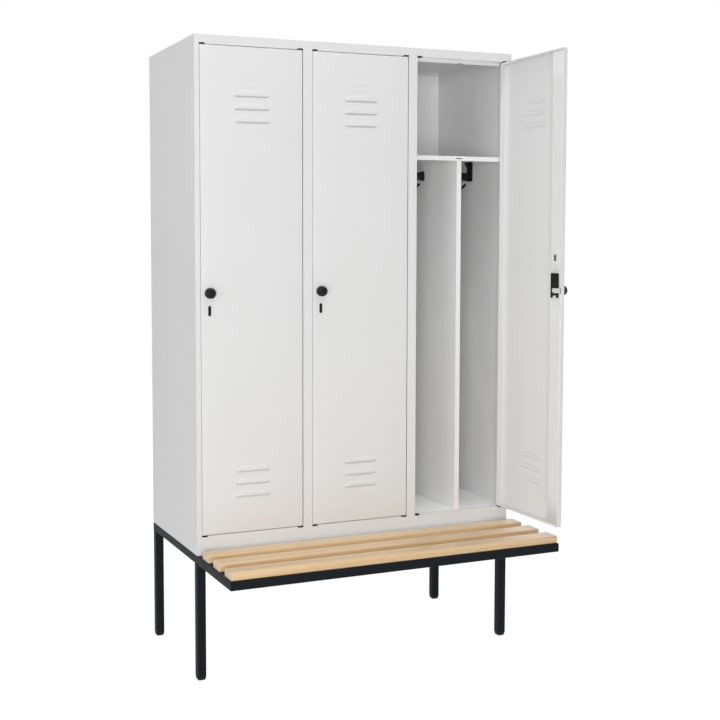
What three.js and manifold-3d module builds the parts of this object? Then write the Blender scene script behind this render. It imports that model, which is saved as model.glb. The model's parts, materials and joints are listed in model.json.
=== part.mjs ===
// Steel changing-room locker with three compartments, on a leg frame that carries a bench.
// Millimetres, +Z up. The origin is on the floor, under the middle of the unit as it stands with
// its right door open at 90 degrees and the other two shut.

import * as THREE from 'three';
import { mergeVertices } from 'three/addons/utils/BufferGeometryUtils.js';
import Module from 'manifold-3d';

// Body
const compartments = 3;
const compartmentWidth = 400;
const bodyDepth = 500;
const bodyHeight = 1700;
const sheet = 1;
const rearFlange = 15;
const footFlange = 20;
const panelFlange = 12;
const seamGap = 0.3;
const weldTolerance = 0.0001;
const hair = 0.003;
const overrun = 2;

// Front frame
const stileWidth = 17;
const topRailHeight = 30;
const bottomRailHeight = 64;
const notchLength = 20;
const notchHeight = 4;
const stopLipDrop = 12;
const stopLipClearance = 0.6;
const stopNotchLength = 18;
const stopNotchHeight = 3;
const lockReturnDepth = 20;
const hingeReturnDepth = 42;
const hingeReturnSetback = 3;
const strikeClearance = 1.5;

// Inside
const interiorFront = 21;
const hatSpace = 336;
const shelfLip = 16;
const dividerFace = 18;
const dividerReturn = 12;
const dividerSlotLength = 25;
const dividerSlotHeight = 4.5;

// Coat rails
const railBelowShelf = 57;
const railHeight = 30;
const railThickness = 15;
const socketLength = 9;
const socketFlange = 3;
const socketFlare = 4;
const bracketWidth = 30;
const bracketThickness = 8;
const bracketCorner = 5;
const prongBaseRise = 20;
const prongReach = 12;
const prongRise = 23;
const prongRadius = 4;
const hubLength = 16;
const hubWall = 3;
const hookReach = 78;
const hookDrop = 30;
const hookTipDrop = 16;
const hookRadius = 4;

// Doors
const doorGap = 2;
const doorThickness = 18;
const doorEdgeRadius = 1.5;
const hingeDepth = 8.4;
const openDoorClearance = 0.4;
const doorEndLip = 8;
const doorHingeLip = 28;

// Louvers and label frame pressed into each door
const louversPerGroup = 3;
const louverPitch = 42;
const louverBottomWidth = 124;
const louverTopWidth = 92;
const louverHeight = 18.5;
const louverRaise = 3.5;
const louverEndRun = 16;
const lowerLouverRise = 122;
const upperLouverDrop = 246;
const labelWidth = 60;
const labelHeight = 26;
const labelRim = 2.5;
const labelRaise = 0.6;
const labelCorner = 3;
const labelDrop = 132;

// Stiffener down the lock side of each door
const stiffenerWidth = 55;
const stiffenerFoot = 10;
const stiffenerReturn = 9;
const ovalWidth = 15;
const ovalHeight = 22;
const ovalAboveKnob = 110;

// Lock
const knobHeight = 866;
const knobFromEdge = 29.5;
const knobDiameter = 35;
const knobProjection = 26;
const knobDrum = 10;
const knobFoot = 1.2;
const knobRimDiameter = 20;
const knobRimWidth = 1.2;
const keyFaceDiameter = 13;
const keyFaceDepth = 4;
const keywayLength = 8;
const keywayWidth = 1.6;
const keywayDepth = 5;
const shaftDiameter = 18;
const camDiameter = 24;
const camThickness = 1.7;
const drivePinDiameter = 3.4;
const drivePinClearance = 0.5;
const boltTravel = 12;
const boltTurn = Math.PI / 2;
const boltHeight = 19;
const boltThickness = 3;
const boltLength = 41;
const boltTipFromEdge = 4.5;
const boltTailRadius = 8;
const boltTipRadius = 1.5;
const boltSink = 0.4;
const caseWidth = 45;
const caseBelowKnob = 24.5;
const caseAboveKnob = 58;
const caseSetback = 3;
const caseProud = 1;
const caseCorner = 2;
const caseLip = 1.2;
const caseNotchWidth = 20;
const caseNotchHeight = 8;
const caseCavityHeight = 6;
const runningGap = 0.3;
const slotLength = 34;
const slotWidth = 10.5;
const slotBelowKnob = 57.8;
const plugFlange = 2;
const plugFlangeThickness = 1.5;
const plugProud = 0.6;

// Hinge pins
const pinDiameter = 6;
const pinCollarDiameter = 11;
const pinInDoor = 9;
const pinInTab = 6;

// Leg frame and bench
const tube = 30;
const tubeWall = 2;
const tubeCorner = 3;
const legFrameHeight = 423;
const benchReach = 312;
const capHeight = 12;
const capRadius = 7;
const capCorner = 8;
const capPlugLength = 20;
const slats = 3;
const slatWidth = 60;
const slatThickness = 25;
const slatPitch = 104;
const slatRadius = 4;
const slatEndChamfer = 1.5;
const slatEndSetback = 4;
const slatFrontSetback = 4;

// Facets
const roundSides = 16;
const smallSides = 10;
const domeSteps = 4;
const hookSteps = 5;
const armSides = 6;
const louverColumns = 8;
const louverRows = 2;

// Derived sizes of the body, in body coordinates: X from its left side, Y from its front face
// to the back, Z from its underside
const bodyWidth = compartments * compartmentWidth;
const openingWidth = compartmentWidth - 2 * stileWidth;
const openingBottom = bottomRailHeight;
const openingTop = bodyHeight - topRailHeight;
const tabBottom = openingBottom - notchHeight;
const tabTop = openingTop + notchHeight;
const innerLeft = sheet;
const innerRight = bodyWidth - sheet;
const innerBack = bodyDepth - 2 * sheet;
const shelfBack = innerBack - sheet;
const shelfHeight = openingTop - hatSpace;
const railCentreHeight = shelfHeight - railBelowShelf;
const lowerLouverHeight = openingBottom + lowerLouverRise;
const upperLouverHeight = openingTop - upperLouverDrop;
const labelBottom = openingTop - labelDrop;
const stopLipFront = doorThickness + stopLipClearance;

// Derived sizes of a door, in door coordinates: X and Y from the hinge axis, Z from the door's
// lower edge. The shut door reaches from its hinge edge towards -X, and its outer face looks
// towards -Y
const doorWidth = openingWidth - 2 * doorGap;
const doorHeight = openingTop - openingBottom - 2 * doorGap;
const doorBottom = openingBottom + doorGap;
const hingeFromOpening = hingeDepth + openDoorClearance;
const hingeEdge = hingeFromOpening - doorGap;
const freeEdge = hingeEdge - doorWidth;
const outerFace = -hingeDepth;
const innerFace = doorThickness - hingeDepth;
const doorMiddle = (freeEdge + hingeEdge) / 2;
const knobX = freeEdge + knobFromEdge;
const knobZ = knobHeight - doorBottom;

// Derived sizes of the lock: the drive pin swings through the bolt's fork, half a turn of the
// stroke on each side of straight down
const boltBack = innerFace - boltSink;
const boltFront = boltBack - boltThickness;
const channelFloor = boltFront - runningGap;
const camFront = channelFloor - camThickness;
const drivePinOrbit = boltTravel / 2 / Math.sin(boltTurn / 2);
const drivePinX = boltTravel / 2;
const drivePinZ = -drivePinOrbit * Math.cos(boltTurn / 2);
const caseBack = innerFace + caseProud;

const wasm = await Module();
wasm.setup();

const material = (color, roughness, metalness) => (
  () => new THREE.MeshStandardMaterial({ color, roughness, metalness }));
const whitePaint = material(0xe6e6e4, 0.45, 0);
const darkPaint = material(0x2b2f33, 0.5, 0);
const blackPlastic = material(0x1c1c1c, 0.5, 0);
const steel = material(0xc4c6c8, 0.35, 1);
const wood = material(0xd9b887, 0.55, 0);

// Solids

function solid(geometry) {
  const bare = geometry.index ? geometry.toNonIndexed() : geometry.clone();
  for (const name of Object.keys(bare.attributes)) {
    if (name !== 'position') bare.deleteAttribute(name);
  }
  const merged = mergeVertices(bare, weldTolerance);
  return new wasm.Manifold(new wasm.Mesh({
    numProp: 3,
    vertProperties: Float32Array.from(merged.attributes.position.array),
    triVerts: Uint32Array.from(merged.index.array),
  }));
}

function geometryOf(body) {
  const mesh = body.getMesh();
  const positions = Float32Array.from(mesh.vertProperties);
  const geometry = new THREE.BufferGeometry();
  geometry.setAttribute('position', new THREE.BufferAttribute(positions, 3));
  geometry.setIndex(new THREE.BufferAttribute(Uint32Array.from(mesh.triVerts), 1));
  geometry.computeVertexNormals();
  return geometry;
}

function join(bodies) {
  return bodies.reduce((whole, body) => whole.add(body));
}

function cut(body, tools) {
  return tools.reduce((rest, tool) => rest.subtract(tool), body);
}

function box(x0, x1, y0, y1, z0, z1) {
  const geometry = new THREE.BoxGeometry(x1 - x0, y1 - y0, z1 - z0);
  return solid(geometry.translate((x0 + x1) / 2, (y0 + y1) / 2, (z0 + z1) / 2));
}

// A round bar that stands upright at x and y
function uprightRod(x, y, z0, z1, diameter, sides = smallSides) {
  const geometry = new THREE.CylinderGeometry(diameter / 2, diameter / 2, z1 - z0, sides);
  return solid(geometry.rotateX(Math.PI / 2).translate(x, y, (z0 + z1) / 2));
}

// A round bar that runs from front to back at x and z
function levelRod(x, z, y0, y1, diameter, sides = roundSides) {
  const geometry = new THREE.CylinderGeometry(diameter / 2, diameter / 2, y1 - y0, sides);
  return solid(geometry.translate(x, (y0 + y1) / 2, z));
}

function extruded(shape, depth, curveSegments = 2, bevel = null) {
  return new THREE.ExtrudeGeometry(shape, {
    depth: bevel ? depth - 2 * bevel.size : depth,
    bevelEnabled: bevel !== null,
    bevelThickness: bevel?.size,
    bevelSize: bevel?.size,
    bevelOffset: bevel ? -bevel.size : 0,
    bevelSegments: bevel?.segments,
    curveSegments,
  }).translate(0, 0, bevel ? bevel.size : 0);
}

// An outline in X and Y, raised from z0 to z1
function upright(shape, z0, z1, curveSegments, bevel) {
  return solid(extruded(shape, z1 - z0, curveSegments, bevel).translate(0, 0, z0));
}

// An outline in X and Z, from y0 back to y1
function through(shape, y0, y1, curveSegments, bevel) {
  const geometry = extruded(shape, y1 - y0, curveSegments, bevel);
  return solid(geometry.rotateX(Math.PI / 2).translate(0, y1, 0));
}

// An outline in Y and Z, from x0 to x1
function across(shape, x0, x1, curveSegments, bevel) {
  const geometry = extruded(shape, x1 - x0, curveSegments, bevel);
  return solid(geometry.rotateY(Math.PI / 2).rotateX(Math.PI / 2).translate(x0, 0, 0));
}

function vectors(points) {
  return points.map(([x, y]) => new THREE.Vector2(x, y));
}

// The outline of a folded strip of sheet: the path is one face, and the other lies to its left
function foldedOutline(path) {
  const points = vectors(path);
  const normals = points.slice(1).map((point, i) => {
    const along = point.clone().sub(points[i]).normalize();
    return new THREE.Vector2(-along.y, along.x);
  });
  const farFace = points.map((point, i) => {
    const before = normals[Math.max(i - 1, 0)];
    const after = normals[Math.min(i, normals.length - 1)];
    const mitre = before.clone().add(after).divideScalar(1 + before.dot(after));
    return point.clone().addScaledVector(mitre, sheet);
  });
  return new THREE.Shape([...points, ...farFace.reverse()]);
}

function roundedRectangle(x0, x1, y0, y1, radius, Kind = THREE.Shape) {
  const shape = new Kind();
  shape.absarc(x1 - radius, y0 + radius, radius, -Math.PI / 2, 0, false);
  shape.absarc(x1 - radius, y1 - radius, radius, 0, Math.PI / 2, false);
  shape.absarc(x0 + radius, y1 - radius, radius, Math.PI / 2, Math.PI, false);
  shape.absarc(x0 + radius, y0 + radius, radius, Math.PI, Math.PI * 1.5, false);
  return shape;
}

// An upright slot with round ends, centred on x and y
function stadium(x, y, width, height) {
  return roundedRectangle(x - width / 2, x + width / 2, y - height / 2, y + height / 2,
    Math.min(width, height) / 2 - hair);
}

// A pan of sheet whose flanges turn down from its top face
function pan(x0, x1, y0, y1, top, flange) {
  const inside = box(x0 + sheet, x1 - sheet, y0 + sheet, y1 - sheet,
    top - flange - overrun, top - sheet);
  return box(x0, x1, y0, y1, top - flange, top).subtract(inside);
}

// Places of one compartment, counted from 0 at the left

function compartmentPlaces(index) {
  const isLast = index === compartments - 1;
  const openingLeft = index * compartmentWidth + stileWidth;
  const openingRight = openingLeft + openingWidth;
  return {
    openingLeft,
    openingRight,
    wallLeft: index === 0 ? innerLeft : index * compartmentWidth + sheet / 2,
    wallRight: isLast ? innerRight : (index + 1) * compartmentWidth - sheet / 2,
    hingeX: openingRight - hingeFromOpening,
    dividerX: (openingLeft + openingRight) / 2,
  };
}

// Body

function sidePanel(isRight) {
  const place = (x) => (isRight ? bodyWidth - x : x);
  const path = [[rearFlange, bodyDepth], [0, bodyDepth], [0, sheet]].map(([x, y]) => [place(x), y]);
  if (isRight) path.reverse();
  const [x0, x1] = [place(0), place(footFlange)].sort((a, b) => a - b);
  const foot = box(x0, x1, interiorFront + sheet, innerBack - footFlange - seamGap, 0, sheet);
  return upright(foldedOutline(path), 0, bodyHeight).add(foot);
}

function backPanel() {
  const path = [[innerBack - footFlange, 0], [innerBack + sheet, 0], [innerBack + sheet, bodyHeight]];
  return across(foldedOutline(path), innerLeft, innerRight);
}

function topPanel() {
  return pan(innerLeft, innerRight, sheet, innerBack, bodyHeight, panelFlange);
}

function floorPanel() {
  return pan(innerLeft, innerRight, interiorFront, innerBack, openingBottom, panelFlange);
}

// The outline of one opening, with a relief notch above and below each corner
function openingOutline({ openingLeft, openingRight }) {
  const inLeft = openingLeft + notchLength;
  const inRight = openingRight - notchLength;
  return new THREE.Shape(vectors([
    [openingLeft, tabBottom], [inLeft, tabBottom], [inLeft, openingBottom], [inRight, openingBottom],
    [inRight, tabBottom], [openingRight, tabBottom], [openingRight, tabTop], [inRight, tabTop],
    [inRight, openingTop], [inLeft, openingTop], [inLeft, tabTop], [openingLeft, tabTop],
  ]));
}

// A hinge pin welded into its tab at z: the collar fills the space to the door, which lies up
// or down from the tab
function hingePin({ hingeX }, z, up) {
  const along = (from, to, diameter) => {
    const [low, high] = [z + up * from, z + up * to].sort((a, b) => a - b);
    return uprightRod(hingeX, hingeDepth, low, high, diameter);
  };
  const toDoor = notchHeight + doorGap;
  return along(-pinInTab, toDoor + pinInDoor, pinDiameter)
    .add(along(0, toDoor - runningGap, pinCollarDiameter));
}

// The face of a rail with its relief notches, the returns along the sides of the body, and at
// each opening the tabs behind the notches, on the side of the rail that z and up give
function frontRail(places, z0, z1, tabEdge, up) {
  const face = cut(box(0, bodyWidth, 0, sheet, z0, z1),
    places.map((compartment) => through(openingOutline(compartment), -overrun, sheet + overrun)));
  const [tabFrom, tabTo] = [tabEdge - up * sheet, tabEdge].sort((a, b) => a - b);
  const sideTop = Math.min(z1, bodyHeight - panelFlange - seamGap);
  const tabs = places.flatMap(({ openingLeft, openingRight }) => [
    box(openingLeft - sheet, openingLeft + notchLength, 0, lockReturnDepth, tabFrom, tabTo),
    box(openingRight - notchLength, openingRight + hingeReturnSetback + sheet, 0, lockReturnDepth,
      tabFrom, tabTo),
  ]);
  return join([
    face,
    box(innerLeft, innerLeft + sheet, 0, lockReturnDepth, z0, sideTop),
    box(innerRight - sheet, innerRight, 0, lockReturnDepth, z0, sideTop),
    ...tabs,
    ...places.map((compartment) => hingePin(compartment, tabEdge, up)),
  ]);
}

function bottomRail(places) {
  const sills = places.map(({ openingLeft, openingRight }) => (
    box(openingLeft + notchLength, openingRight - notchLength, 0, interiorFront,
      openingBottom - sheet, openingBottom)));
  const foot = box(innerLeft, innerRight, 0, interiorFront, 0, sheet);
  return join([frontRail(places, 0, openingBottom, tabBottom, 1), foot, ...sills]);
}

// The top rail, with a stop lip over each opening that is cut back on the hinge side and has a
// small notch in its middle
function topRail(places) {
  const lipBottom = openingTop - stopLipDrop;
  const profile = foldedOutline([
    [0, openingTop], [stopLipFront, openingTop], [stopLipFront, lipBottom]]);
  const heads = places.flatMap(({ openingLeft, openingRight }) => {
    const inLeft = openingLeft + notchLength;
    return [
      across(profile, inLeft, openingRight - notchLength),
      box(openingLeft, inLeft, stopLipFront, stopLipFront + sheet, lipBottom, openingTop),
    ];
  });
  const notches = places.map(({ dividerX }) => (
    box(dividerX - stopNotchLength / 2, dividerX + stopNotchLength / 2,
      stopLipFront - sheet, stopLipFront + 2 * sheet, lipBottom - overrun, lipBottom + stopNotchHeight)));
  return cut(join([frontRail(places, openingTop, bodyHeight, tabTop, -1), ...heads]), notches);
}

// The stile between two openings: boxed out behind the hinge side of the opening on its left,
// and folded back along the lock side of the opening on its right, with the strike slot. The
// outer stiles have one of the two, and a return along the side of the body
function stile(before, after) {
  const x0 = before ? before.openingRight : 0;
  const x1 = after ? after.openingLeft : bodyWidth;
  const upTo = (shape) => upright(shape, openingBottom, openingTop);
  const returnAt = (x) => box(x, x + sheet, 0, lockReturnDepth, openingBottom, openingTop);
  const pieces = [box(x0, x1, 0, sheet, openingBottom, openingTop)];
  if (before) {
    const hingeLeft = before.openingRight + hingeReturnSetback;
    pieces.push(upTo(foldedOutline([
      [before.wallRight, hingeReturnDepth], [hingeLeft, hingeReturnDepth], [hingeLeft, 0]])));
  }
  if (after) pieces.push(returnAt(x1 - sheet));
  if (!before) pieces.push(returnAt(innerLeft));
  if (!after) pieces.push(returnAt(innerRight - sheet));
  const whole = join(pieces);
  if (!after) return whole;
  const strikeHalf = boltHeight / 2 + strikeClearance;
  return whole.subtract(box(x1 - 2 * sheet, x1 + sheet,
    hingeDepth + boltFront - strikeClearance, hingeDepth + boltBack + sheet,
    knobHeight - strikeHalf, knobHeight + strikeHalf));
}

// A wall between two compartments: its head passes between the flanges of the top panel
function innerWall(x) {
  const left = x - sheet / 2;
  const profile = foldedOutline([[x + rearFlange, innerBack], [left, innerBack], [left, sheet]]);
  const head = box(left, left + sheet, 2 * sheet + seamGap, innerBack - sheet - seamGap,
    bodyHeight - panelFlange - overrun, bodyHeight - sheet);
  return upright(profile, openingBottom, bodyHeight - panelFlange - seamGap).add(head);
}

// Fittings of a compartment

function hatShelf({ wallLeft, wallRight, openingRight, dividerX }) {
  const lipMiddle = shelfHeight - shelfLip / 2;
  return cut(pan(wallLeft, wallRight, interiorFront, shelfBack, shelfHeight, shelfLip), [
    box(openingRight + hingeReturnSetback - seamGap, wallRight + overrun,
      interiorFront - overrun, hingeReturnDepth + seamGap,
      shelfHeight - shelfLip - overrun, shelfHeight + overrun),
    box(dividerX - dividerSlotLength / 2, dividerX + dividerSlotLength / 2,
      interiorFront - sheet, interiorFront + 2 * sheet,
      lipMiddle - dividerSlotHeight / 2, lipMiddle + dividerSlotHeight / 2),
  ]);
}

// The upright divider: one sheet, folded to a face and a return at the front
function divider({ dividerX }) {
  const left = dividerX - dividerFace / 2;
  const right = dividerX + dividerFace / 2;
  const lipBottom = shelfHeight - shelfLip;
  const profile = foldedOutline([
    [left + rearFlange, innerBack], [left, innerBack], [left, interiorFront],
    [right, interiorFront], [right, interiorFront + dividerReturn],
  ]);
  const head = box(left, left + sheet, interiorFront + shelfLip, shelfBack - sheet - seamGap,
    lipBottom - overrun, shelfHeight - sheet);
  return upright(profile, openingBottom, lipBottom - seamGap).add(head);
}

// A round arm swept along a curve, with a ball at its tip
function arm(curve, radius, steps) {
  const circle = new THREE.Shape();
  circle.absarc(0, 0, radius, 0, Math.PI * 2, false);
  const sweep = new THREE.ExtrudeGeometry(circle, {
    extrudePath: curve, steps, bevelEnabled: false, curveSegments: armSides / 2,
  });
  const tip = curve.getPoint(1);
  const ball = new THREE.SphereGeometry(radius, armSides, armSides / 2);
  return solid(sweep).add(solid(ball.translate(tip.x, tip.y, tip.z)));
}

// A coat rail along X from the wall bracket at 0 to the socket on the divider at its length, with
// Z from the middle of the rail. The bracket stands clear of the wall by the shelf's flange
function coatRail(length) {
  const middle = length / 2;
  const bracketFace = sheet + bracketThickness;
  const underShelf = shelfHeight - sheet - railCentreHeight;
  const bracketBottom = -railHeight / 2 - socketFlare;
  const bracket = roundedRectangle(
    -bracketWidth / 2, bracketWidth / 2, bracketBottom, underShelf, bracketCorner);
  const collar = stadium(0, 0, railThickness + socketFlare, railHeight + socketFlare);
  const flange = stadium(0, 0, railThickness + 2 * socketFlare, railHeight + 2 * socketFlare);
  const hub = stadium(0, 0, railThickness + 2 * hubWall, railHeight + 2 * hubWall);
  const at = (x, z) => new THREE.Vector3(x, 0, z);
  const prong = new THREE.LineCurve3(
    at(bracketFace - prongRadius, prongBaseRise - prongRadius),
    at(bracketFace + prongReach, prongBaseRise + prongRise));
  const hookTop = -railHeight / 2;
  const hooks = [-1, 1].map((side) => arm(new THREE.CubicBezierCurve3(
    at(middle, hookTop),
    at(middle, hookTop - hookDrop * 1.2),
    at(middle + side * hookReach * 0.7, hookTop - hookDrop * 1.4),
    at(middle + side * hookReach, hookTop - hookTipDrop)), hookRadius, hookSteps));
  return join([
    across(stadium(0, 0, railThickness, railHeight), bracketFace - sheet, length - sheet, 1),
    across(bracket, sheet, bracketFace, 1),
    across(collar, length - socketLength, length - sheet, 1),
    across(flange, length - socketFlange, length, 1),
    across(hub, middle - hubLength / 2, middle + hubLength / 2, 1),
    arm(prong, prongRadius, 1),
    ...hooks,
  ]);
}

// Doors

// How far a louver stands out at a place across it, from -1 to 1, and up it, from 0 to 1
function louverRise(across, up) {
  const endRun = 2 * louverEndRun / louverBottomWidth;
  const ramp = Math.min((1 - Math.abs(across)) / endRun, 1);
  const endShape = ramp * ramp * (3 - 2 * ramp);
  return louverRaise * endShape * Math.cos(up * Math.PI / 2);
}

// A closed skin between two sheets of points, front and back, each a grid of columns and rows
function betweenGrids(columns, rows, pointOf) {
  const positions = [];
  const index = [];
  const stride = rows + 1;
  const layer = (columns + 1) * stride;
  for (const isBack of [false, true]) {
    for (let i = 0; i <= columns; i += 1) {
      for (let j = 0; j <= rows; j += 1) {
        positions.push(...pointOf(2 * i / columns - 1, j / rows, isBack));
      }
    }
  }
  const quad = (a, b, c, d) => index.push(a, b, c, a, c, d);
  for (let i = 0; i < columns; i += 1) {
    for (let j = 0; j < rows; j += 1) {
      const a = i * stride + j;
      quad(a, a + stride, a + stride + 1, a + 1);
      quad(layer + a, layer + a + 1, layer + a + stride + 1, layer + a + stride);
    }
    const low = i * stride;
    const high = low + rows;
    quad(low, low + layer, low + layer + stride, low + stride);
    quad(high, high + stride, high + layer + stride, high + layer);
  }
  for (let j = 0; j < rows; j += 1) {
    const first = j;
    const last = columns * stride + j;
    quad(first, first + 1, first + layer + 1, first + layer);
    quad(last, last + layer, last + layer + 1, last + 1);
  }
  const geometry = new THREE.BufferGeometry();
  geometry.setAttribute('position', new THREE.Float32BufferAttribute(positions, 3));
  geometry.setIndex(index);
  return solid(geometry);
}

// One louver with its lower edge at z: the hood of sheet, and the space behind it
function louver(z) {
  const place = (across, up) => {
    const halfWidth = THREE.MathUtils.lerp(louverBottomWidth, louverTopWidth, up) / 2;
    return [doorMiddle + across * halfWidth, z + up * louverHeight];
  };
  const hood = betweenGrids(louverColumns, louverRows, (across, up, isBack) => {
    const [x, height] = place(across, up);
    return [x, outerFace - louverRise(across, up) + (isBack ? sheet : 0), height];
  });
  const hollow = betweenGrids(louverColumns, louverRows, (across, up, isBack) => {
    const [x, height] = place(across, up);
    const front = outerFace - louverRise(across, up) + sheet;
    return [x, isBack ? outerFace + sheet + overrun : front, height];
  });
  return { hood, hollow };
}

function labelFrame() {
  const x0 = doorMiddle - labelWidth / 2;
  const x1 = doorMiddle + labelWidth / 2;
  const z0 = labelBottom - doorBottom;
  const z1 = z0 + labelHeight;
  const rim = roundedRectangle(x0, x1, z0, z1, labelCorner);
  rim.holes.push(roundedRectangle(
    x0 + labelRim, x1 - labelRim, z0 + labelRim, z1 - labelRim, labelCorner - labelRim / 2, THREE.Path));
  return through(rim, outerFace - labelRaise, outerFace + sheet / 2, 1);
}

function doorPanel() {
  const block = new THREE.Shape(vectors([
    [freeEdge, 0], [hingeEdge, 0], [hingeEdge, doorHeight], [freeEdge, doorHeight]]));
  const bevel = { size: doorEdgeRadius, segments: 2 };
  const whole = through(block, outerFace, innerFace + 2 * doorEdgeRadius, 2, bevel);
  const behind = box(freeEdge - overrun, hingeEdge + overrun, innerFace,
    innerFace + 2 * doorEdgeRadius + overrun, -overrun, doorHeight + overrun);
  const hollow = box(freeEdge + sheet, hingeEdge - sheet, outerFace + sheet, innerFace - sheet,
    sheet, doorHeight - sheet);
  const window = box(freeEdge + sheet, hingeEdge - doorHingeLip, innerFace - 2 * sheet,
    innerFace + overrun, doorEndLip, doorHeight - doorEndLip);
  const shell = cut(whole, [behind, hollow, window]);
  const louvers = [lowerLouverHeight, upperLouverHeight].flatMap((height) => (
    Array.from({ length: louversPerGroup }, (_, i) => louver(height - doorBottom + i * louverPitch))));
  const pinHole = uprightRod(0, 0, -overrun, doorHeight + overrun, pinDiameter + 2 * runningGap);
  const boltHalf = boltHeight / 2 + runningGap;
  const slot = stadium(
    knobX, knobZ - slotBelowKnob, slotWidth + 2 * runningGap, slotLength + 2 * runningGap);
  const openings = [
    levelRod(knobX, knobZ, outerFace - overrun, outerFace + overrun, shaftDiameter + 2 * runningGap),
    through(slot, outerFace - overrun, outerFace + overrun),
    box(freeEdge - overrun, freeEdge + 2 * sheet, channelFloor, innerFace + overrun,
      knobZ - boltHalf, knobZ + boltHalf),
    pinHole,
  ];
  const pressed = join([cut(shell, louvers.map(({ hollow: space }) => space)), labelFrame(),
    ...louvers.map(({ hood }) => hood)]);
  return cut(pressed, openings);
}

function doorStiffener() {
  const edge = freeEdge + sheet;
  const flank = freeEdge + stiffenerWidth;
  const profile = foldedOutline([
    [edge, innerFace - stiffenerReturn], [edge, innerFace], [flank, innerFace],
    [flank, outerFace + 2 * sheet], [flank + stiffenerFoot, outerFace + 2 * sheet],
  ].reverse());
  const strip = upright(profile, doorEndLip + seamGap, doorHeight - doorEndLip - seamGap);
  const gap = runningGap;
  const boltHalf = boltHeight / 2 + gap;
  return cut(strip, [
    box(knobX - caseWidth / 2 - gap, knobX + caseWidth / 2 + gap,
      innerFace - 2 * sheet, innerFace + overrun,
      knobZ - caseBelowKnob - gap, knobZ + caseAboveKnob + gap),
    box(edge - overrun, knobX, channelFloor, innerFace + overrun, knobZ - boltHalf, knobZ + boltHalf),
    through(stadium(knobX, knobZ + ovalAboveKnob, ovalWidth, ovalHeight),
      innerFace - 2 * sheet, innerFace + overrun),
  ]);
}

// Lock

// The turn knob: a drum that rounds over to a narrow rim round the sunk key face, on a shaft that
// ends in the cam disc with the drive pin. Y as in the door, X and Z from the knob's axis
function knob() {
  const out = (y) => outerFace - y;
  const radius = knobDiameter / 2;
  const rim = knobRimDiameter / 2;
  const shoulder = Array.from({ length: domeSteps + 1 }, (_, i) => {
    const angle = Math.PI / 2 * i / domeSteps;
    return [rim + (radius - rim) * Math.cos(angle),
      knobDrum + (knobProjection - knobDrum) * Math.sin(angle)];
  });
  const keyFace = knobProjection - keyFaceDepth;
  const profile = vectors([
    [0, out(channelFloor)], [camDiameter / 2, out(channelFloor)], [camDiameter / 2, out(camFront)],
    [shaftDiameter / 2, out(camFront)], [shaftDiameter / 2, runningGap],
    [radius - knobFoot, runningGap], [radius, runningGap + knobFoot], ...shoulder,
    [rim - knobRimWidth, knobProjection], [keyFaceDiameter / 2, keyFace], [0, keyFace],
  ]);
  const turned = new THREE.LatheGeometry(profile, roundSides);
  const body = solid(turned.rotateX(Math.PI).translate(0, outerFace, 0));
  const keyway = box(-keywayWidth / 2, keywayWidth / 2,
    outerFace - knobProjection, outerFace - keyFace + keywayDepth, -keywayLength / 2, keywayLength / 2);
  const drivePin = levelRod(drivePinX, drivePinZ, channelFloor - camThickness / 2,
    boltBack - boltSink, drivePinDiameter, smallSides);
  return body.subtract(keyway).add(drivePin);
}

// The slide bolt, with X and Z from the knob's axis: a rounded tail, and below it the fork
// that the drive pin works in
function lockBolt() {
  const tip = boltTipFromEdge - knobFromEdge;
  const half = boltHeight / 2;
  const tail = tip + boltLength;
  const shape = new THREE.Shape();
  shape.absarc(tip + boltTipRadius, -half + boltTipRadius, boltTipRadius, Math.PI, Math.PI * 1.5, false);
  shape.absarc(tail - boltTailRadius, -half + boltTailRadius, boltTailRadius, -Math.PI / 2, 0, false);
  shape.absarc(tail - boltTailRadius, half - boltTailRadius, boltTailRadius, 0, Math.PI / 2, false);
  shape.absarc(tip + boltTipRadius, half - boltTipRadius, boltTipRadius, Math.PI / 2, Math.PI, false);
  const forkWidth = drivePinDiameter + 2 * drivePinClearance;
  const forkTop = drivePinZ + drivePinDiameter / 2 + drivePinClearance;
  const fork = roundedRectangle(drivePinX - forkWidth / 2, drivePinX + forkWidth / 2,
    -half - forkWidth, forkTop, forkWidth / 2 - hair);
  return through(shape, boltFront, boltBack).subtract(
    through(fork, boltFront - overrun, boltBack + overrun));
}

// The lock case, with X and Z from the knob's axis, let into the stiffener
function lockCase() {
  const half = caseWidth / 2;
  const front = outerFace + caseSetback;
  const channelHalf = boltHeight / 2 + runningGap;
  const windowHalf = boltHeight / 2 - caseLip;
  const channelEnd = boltTipFromEdge - knobFromEdge + boltLength + runningGap;
  const block = through(roundedRectangle(-half, half, -caseBelowKnob, caseAboveKnob, caseCorner),
    front, caseBack, 1);
  const window = roundedRectangle(
    -caseWidth, channelEnd - caseLip, -windowHalf, windowHalf, boltTailRadius);
  return cut(block, [
    levelRod(0, 0, front - overrun, channelFloor + seamGap, shaftDiameter + 2 * runningGap),
    levelRod(0, 0, camFront - runningGap, channelFloor + seamGap, camDiameter + 2 * runningGap),
    box(-half - overrun, channelEnd, channelFloor, boltBack + runningGap, -channelHalf, channelHalf),
    through(window, channelFloor, caseBack + overrun, 3),
    box(-caseNotchWidth / 2, caseNotchWidth / 2, channelFloor, caseBack + overrun,
      -channelHalf - caseCavityHeight, 0),
    box(-caseNotchWidth / 2, caseNotchWidth / 2, front - overrun, caseBack + overrun,
      -caseBelowKnob - overrun, caseNotchHeight - caseBelowKnob),
  ]);
}

function slotPlug() {
  const flangeWidth = slotWidth + 2 * plugFlange;
  const flangeLength = slotLength + 2 * plugFlange;
  return through(stadium(0, 0, slotWidth, slotLength), outerFace - plugProud, outerFace + 2 * sheet).add(
    through(stadium(0, 0, flangeWidth, flangeLength),
      outerFace + sheet, outerFace + sheet + plugFlangeThickness));
}

// Leg frame and bench

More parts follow.
